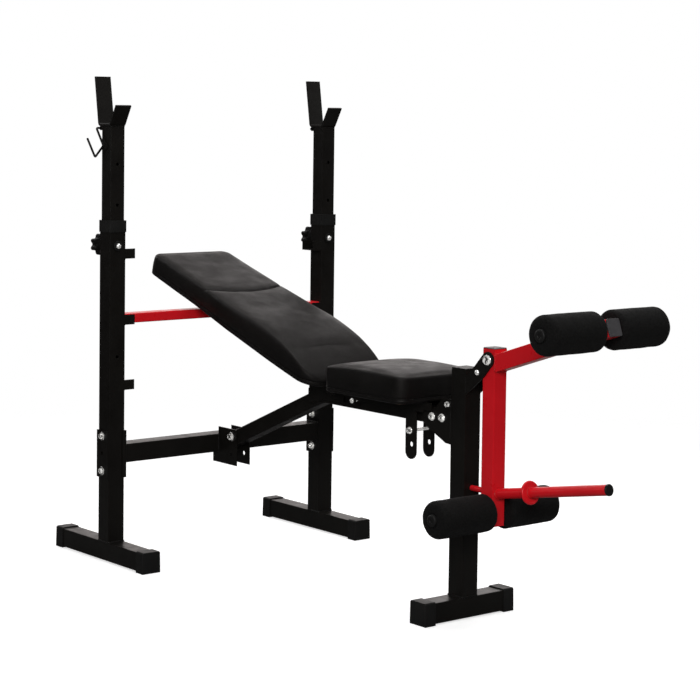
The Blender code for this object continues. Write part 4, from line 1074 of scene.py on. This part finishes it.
tree.links.new(rays.outputs["Is Camera Ray"], mix.inputs["Factor"])
tree.links.new(mix.outputs["Result"], background.inputs["Color"])

bm = bmesh.new()
bmesh.ops.create_circle(bm, cap_ends=True, segments=96, radius=14.0)
floor_mesh = bpy.data.meshes.new("studio_floor")
bm.to_mesh(floor_mesh)
bm.free()
floor = bpy.data.objects.new("studio_floor", floor_mesh)
scene.collection.objects.link(floor)
fm = bpy.data.materials.new("pale_floor")
fm.use_nodes = True
ft = fm.node_tree
out = ft.nodes["Material Output"]
pale = ft.nodes["Principled BSDF"]
pale.inputs["Base Color"].default_value = (0.80, 0.80, 0.80, 1)
pale.inputs["Roughness"].default_value = 0.9
pale.inputs["Specular IOR Level"].default_value = 0.0
pale.inputs["Emission Color"].default_value = (1, 1, 1, 1)
pale.inputs["Emission Strength"].default_value = 0.60
dim = ft.nodes.new("ShaderNodeBsdfDiffuse")
dim.inputs["Color"].default_value = (0.20, 0.20, 0.20, 1)
clear = ft.nodes.new("ShaderNodeBsdfTransparent")
fpath = ft.nodes.new("ShaderNodeLightPath")
by_ray = ft.nodes.new("ShaderNodeMixShader")
ft.links.new(fpath.outputs["Is Camera Ray"], by_ray.inputs["Fac"])
ft.links.new(dim.outputs[0], by_ray.inputs[1])
ft.links.new(pale.outputs[0], by_ray.inputs[2])
fade = ft.nodes.new("ShaderNodeMixShader")
coord = ft.nodes.new("ShaderNodeTexCoord")
length = ft.nodes.new("ShaderNodeVectorMath")
length.operation = "LENGTH"
span = ft.nodes.new("ShaderNodeMapRange")
span.interpolation_type = "SMOOTHSTEP"
span.inputs["From Min"].default_value = 1.1
span.inputs["From Max"].default_value = 3.2
ft.links.new(coord.outputs["Object"], length.inputs[0])
ft.links.new(length.outputs["Value"], span.inputs["Value"])
ft.links.new(span.outputs["Result"], fade.inputs["Fac"])
ft.links.new(by_ray.outputs[0], fade.inputs[1])
ft.links.new(clear.outputs[0], fade.inputs[2])
ft.links.new(fade.outputs[0], out.inputs["Surface"])
floor_mesh.materials.append(fm)
floor.location = (0, 0, -0.0005)


def area(name, where, target, size, power, size_y=None):
    light = bpy.data.lights.new(name, "AREA")
    light.shape = "RECTANGLE"
    light.size, light.size_y = size, size_y or size
    light.energy = power
    obj = bpy.data.objects.new(name, light)
    obj.location = where
    obj.rotation_euler = (Vector(target) - Vector(where)).to_track_quat("-Z", "Y").to_euler()
    scene.collection.objects.link(obj)
    return obj


area("overhead_softbox", (0.2, 0.4, 3.6), (0, 0, 0.5), 3.2, 80, 2.4)
area("key_softbox", (3.9, -3.4, 2.6), (0, 0, 0.55), 2.0, 164)
area("left_strip", (-2.6, -3.0, 2.1), (0, 0, 0.6), 0.9, 12, 2.2)
area("back_strip", (2.6, 3.0, 2.6), (0, 0, 0.6), 1.6, 11, 2.2)
area("rear_fill", (-3.4, 3.6, 2.6), (0, 0, 0.6), 1.8, 11)
area("edge_light", (-3.2, -0.3, 2.6), (0, 0, 0.6), 1.5, 20)
area("corner_strip", (2.1, -2.8, 1.0), (0, 0, 0.65), 0.3, 8, 2.0)

camera = bpy.data.cameras.new("camera")
camera.sensor_width = 36.0
camera.lens = 1972.32 / 700.0 * 36.0
camera.clip_start, camera.clip_end = 0.1, 60.0
cam = bpy.data.objects.new("camera", camera)
scene.collection.objects.link(cam)
A, E, ROLL = math.radians(52.681), math.radians(3.257), math.radians(0.575)
away = Vector((math.sin(A) * math.cos(E), -math.cos(A) * math.cos(E), math.sin(E)))
right = Vector((math.cos(A), math.sin(A), 0.0))
up = away.cross(right)
rx = right * math.cos(ROLL) + up * math.sin(ROLL)
ry = up * math.cos(ROLL) - right * math.sin(ROLL)
spot = P(4376.67, -3230.84, 1193.55)
cam.matrix_world = Matrix((
    (rx.x, ry.x, away.x, spot.x), (rx.y, ry.y, away.y, spot.y), (rx.z, ry.z, away.z, spot.z), (0, 0, 0, 1)))
scene.camera = cam


def shift_here(channel, value):
    """Lens shift that holds only while the camera stands at this spot."""
    driver = camera.driver_add(channel).driver
    driver.type = "SCRIPTED"
    var = driver.variables.new()
    var.name = "x"
    var.targets[0].id_type = "OBJECT"
    var.targets[0].id = cam
    var.targets[0].data_path = "location.x"
    driver.expression = f"{value} if abs(x - {spot.x:.5f}) < 0.0005 else 0.0"


shift_here("shift_x", 0.1394)
shift_here("shift_y", -0.1757)

scene.view_settings.view_transform = "Standard"
scene.view_settings.look = "None"
scene.view_settings.exposure = 0.0
scene.view_settings.gamma = 1.0

bpy.context.view_layer.update()
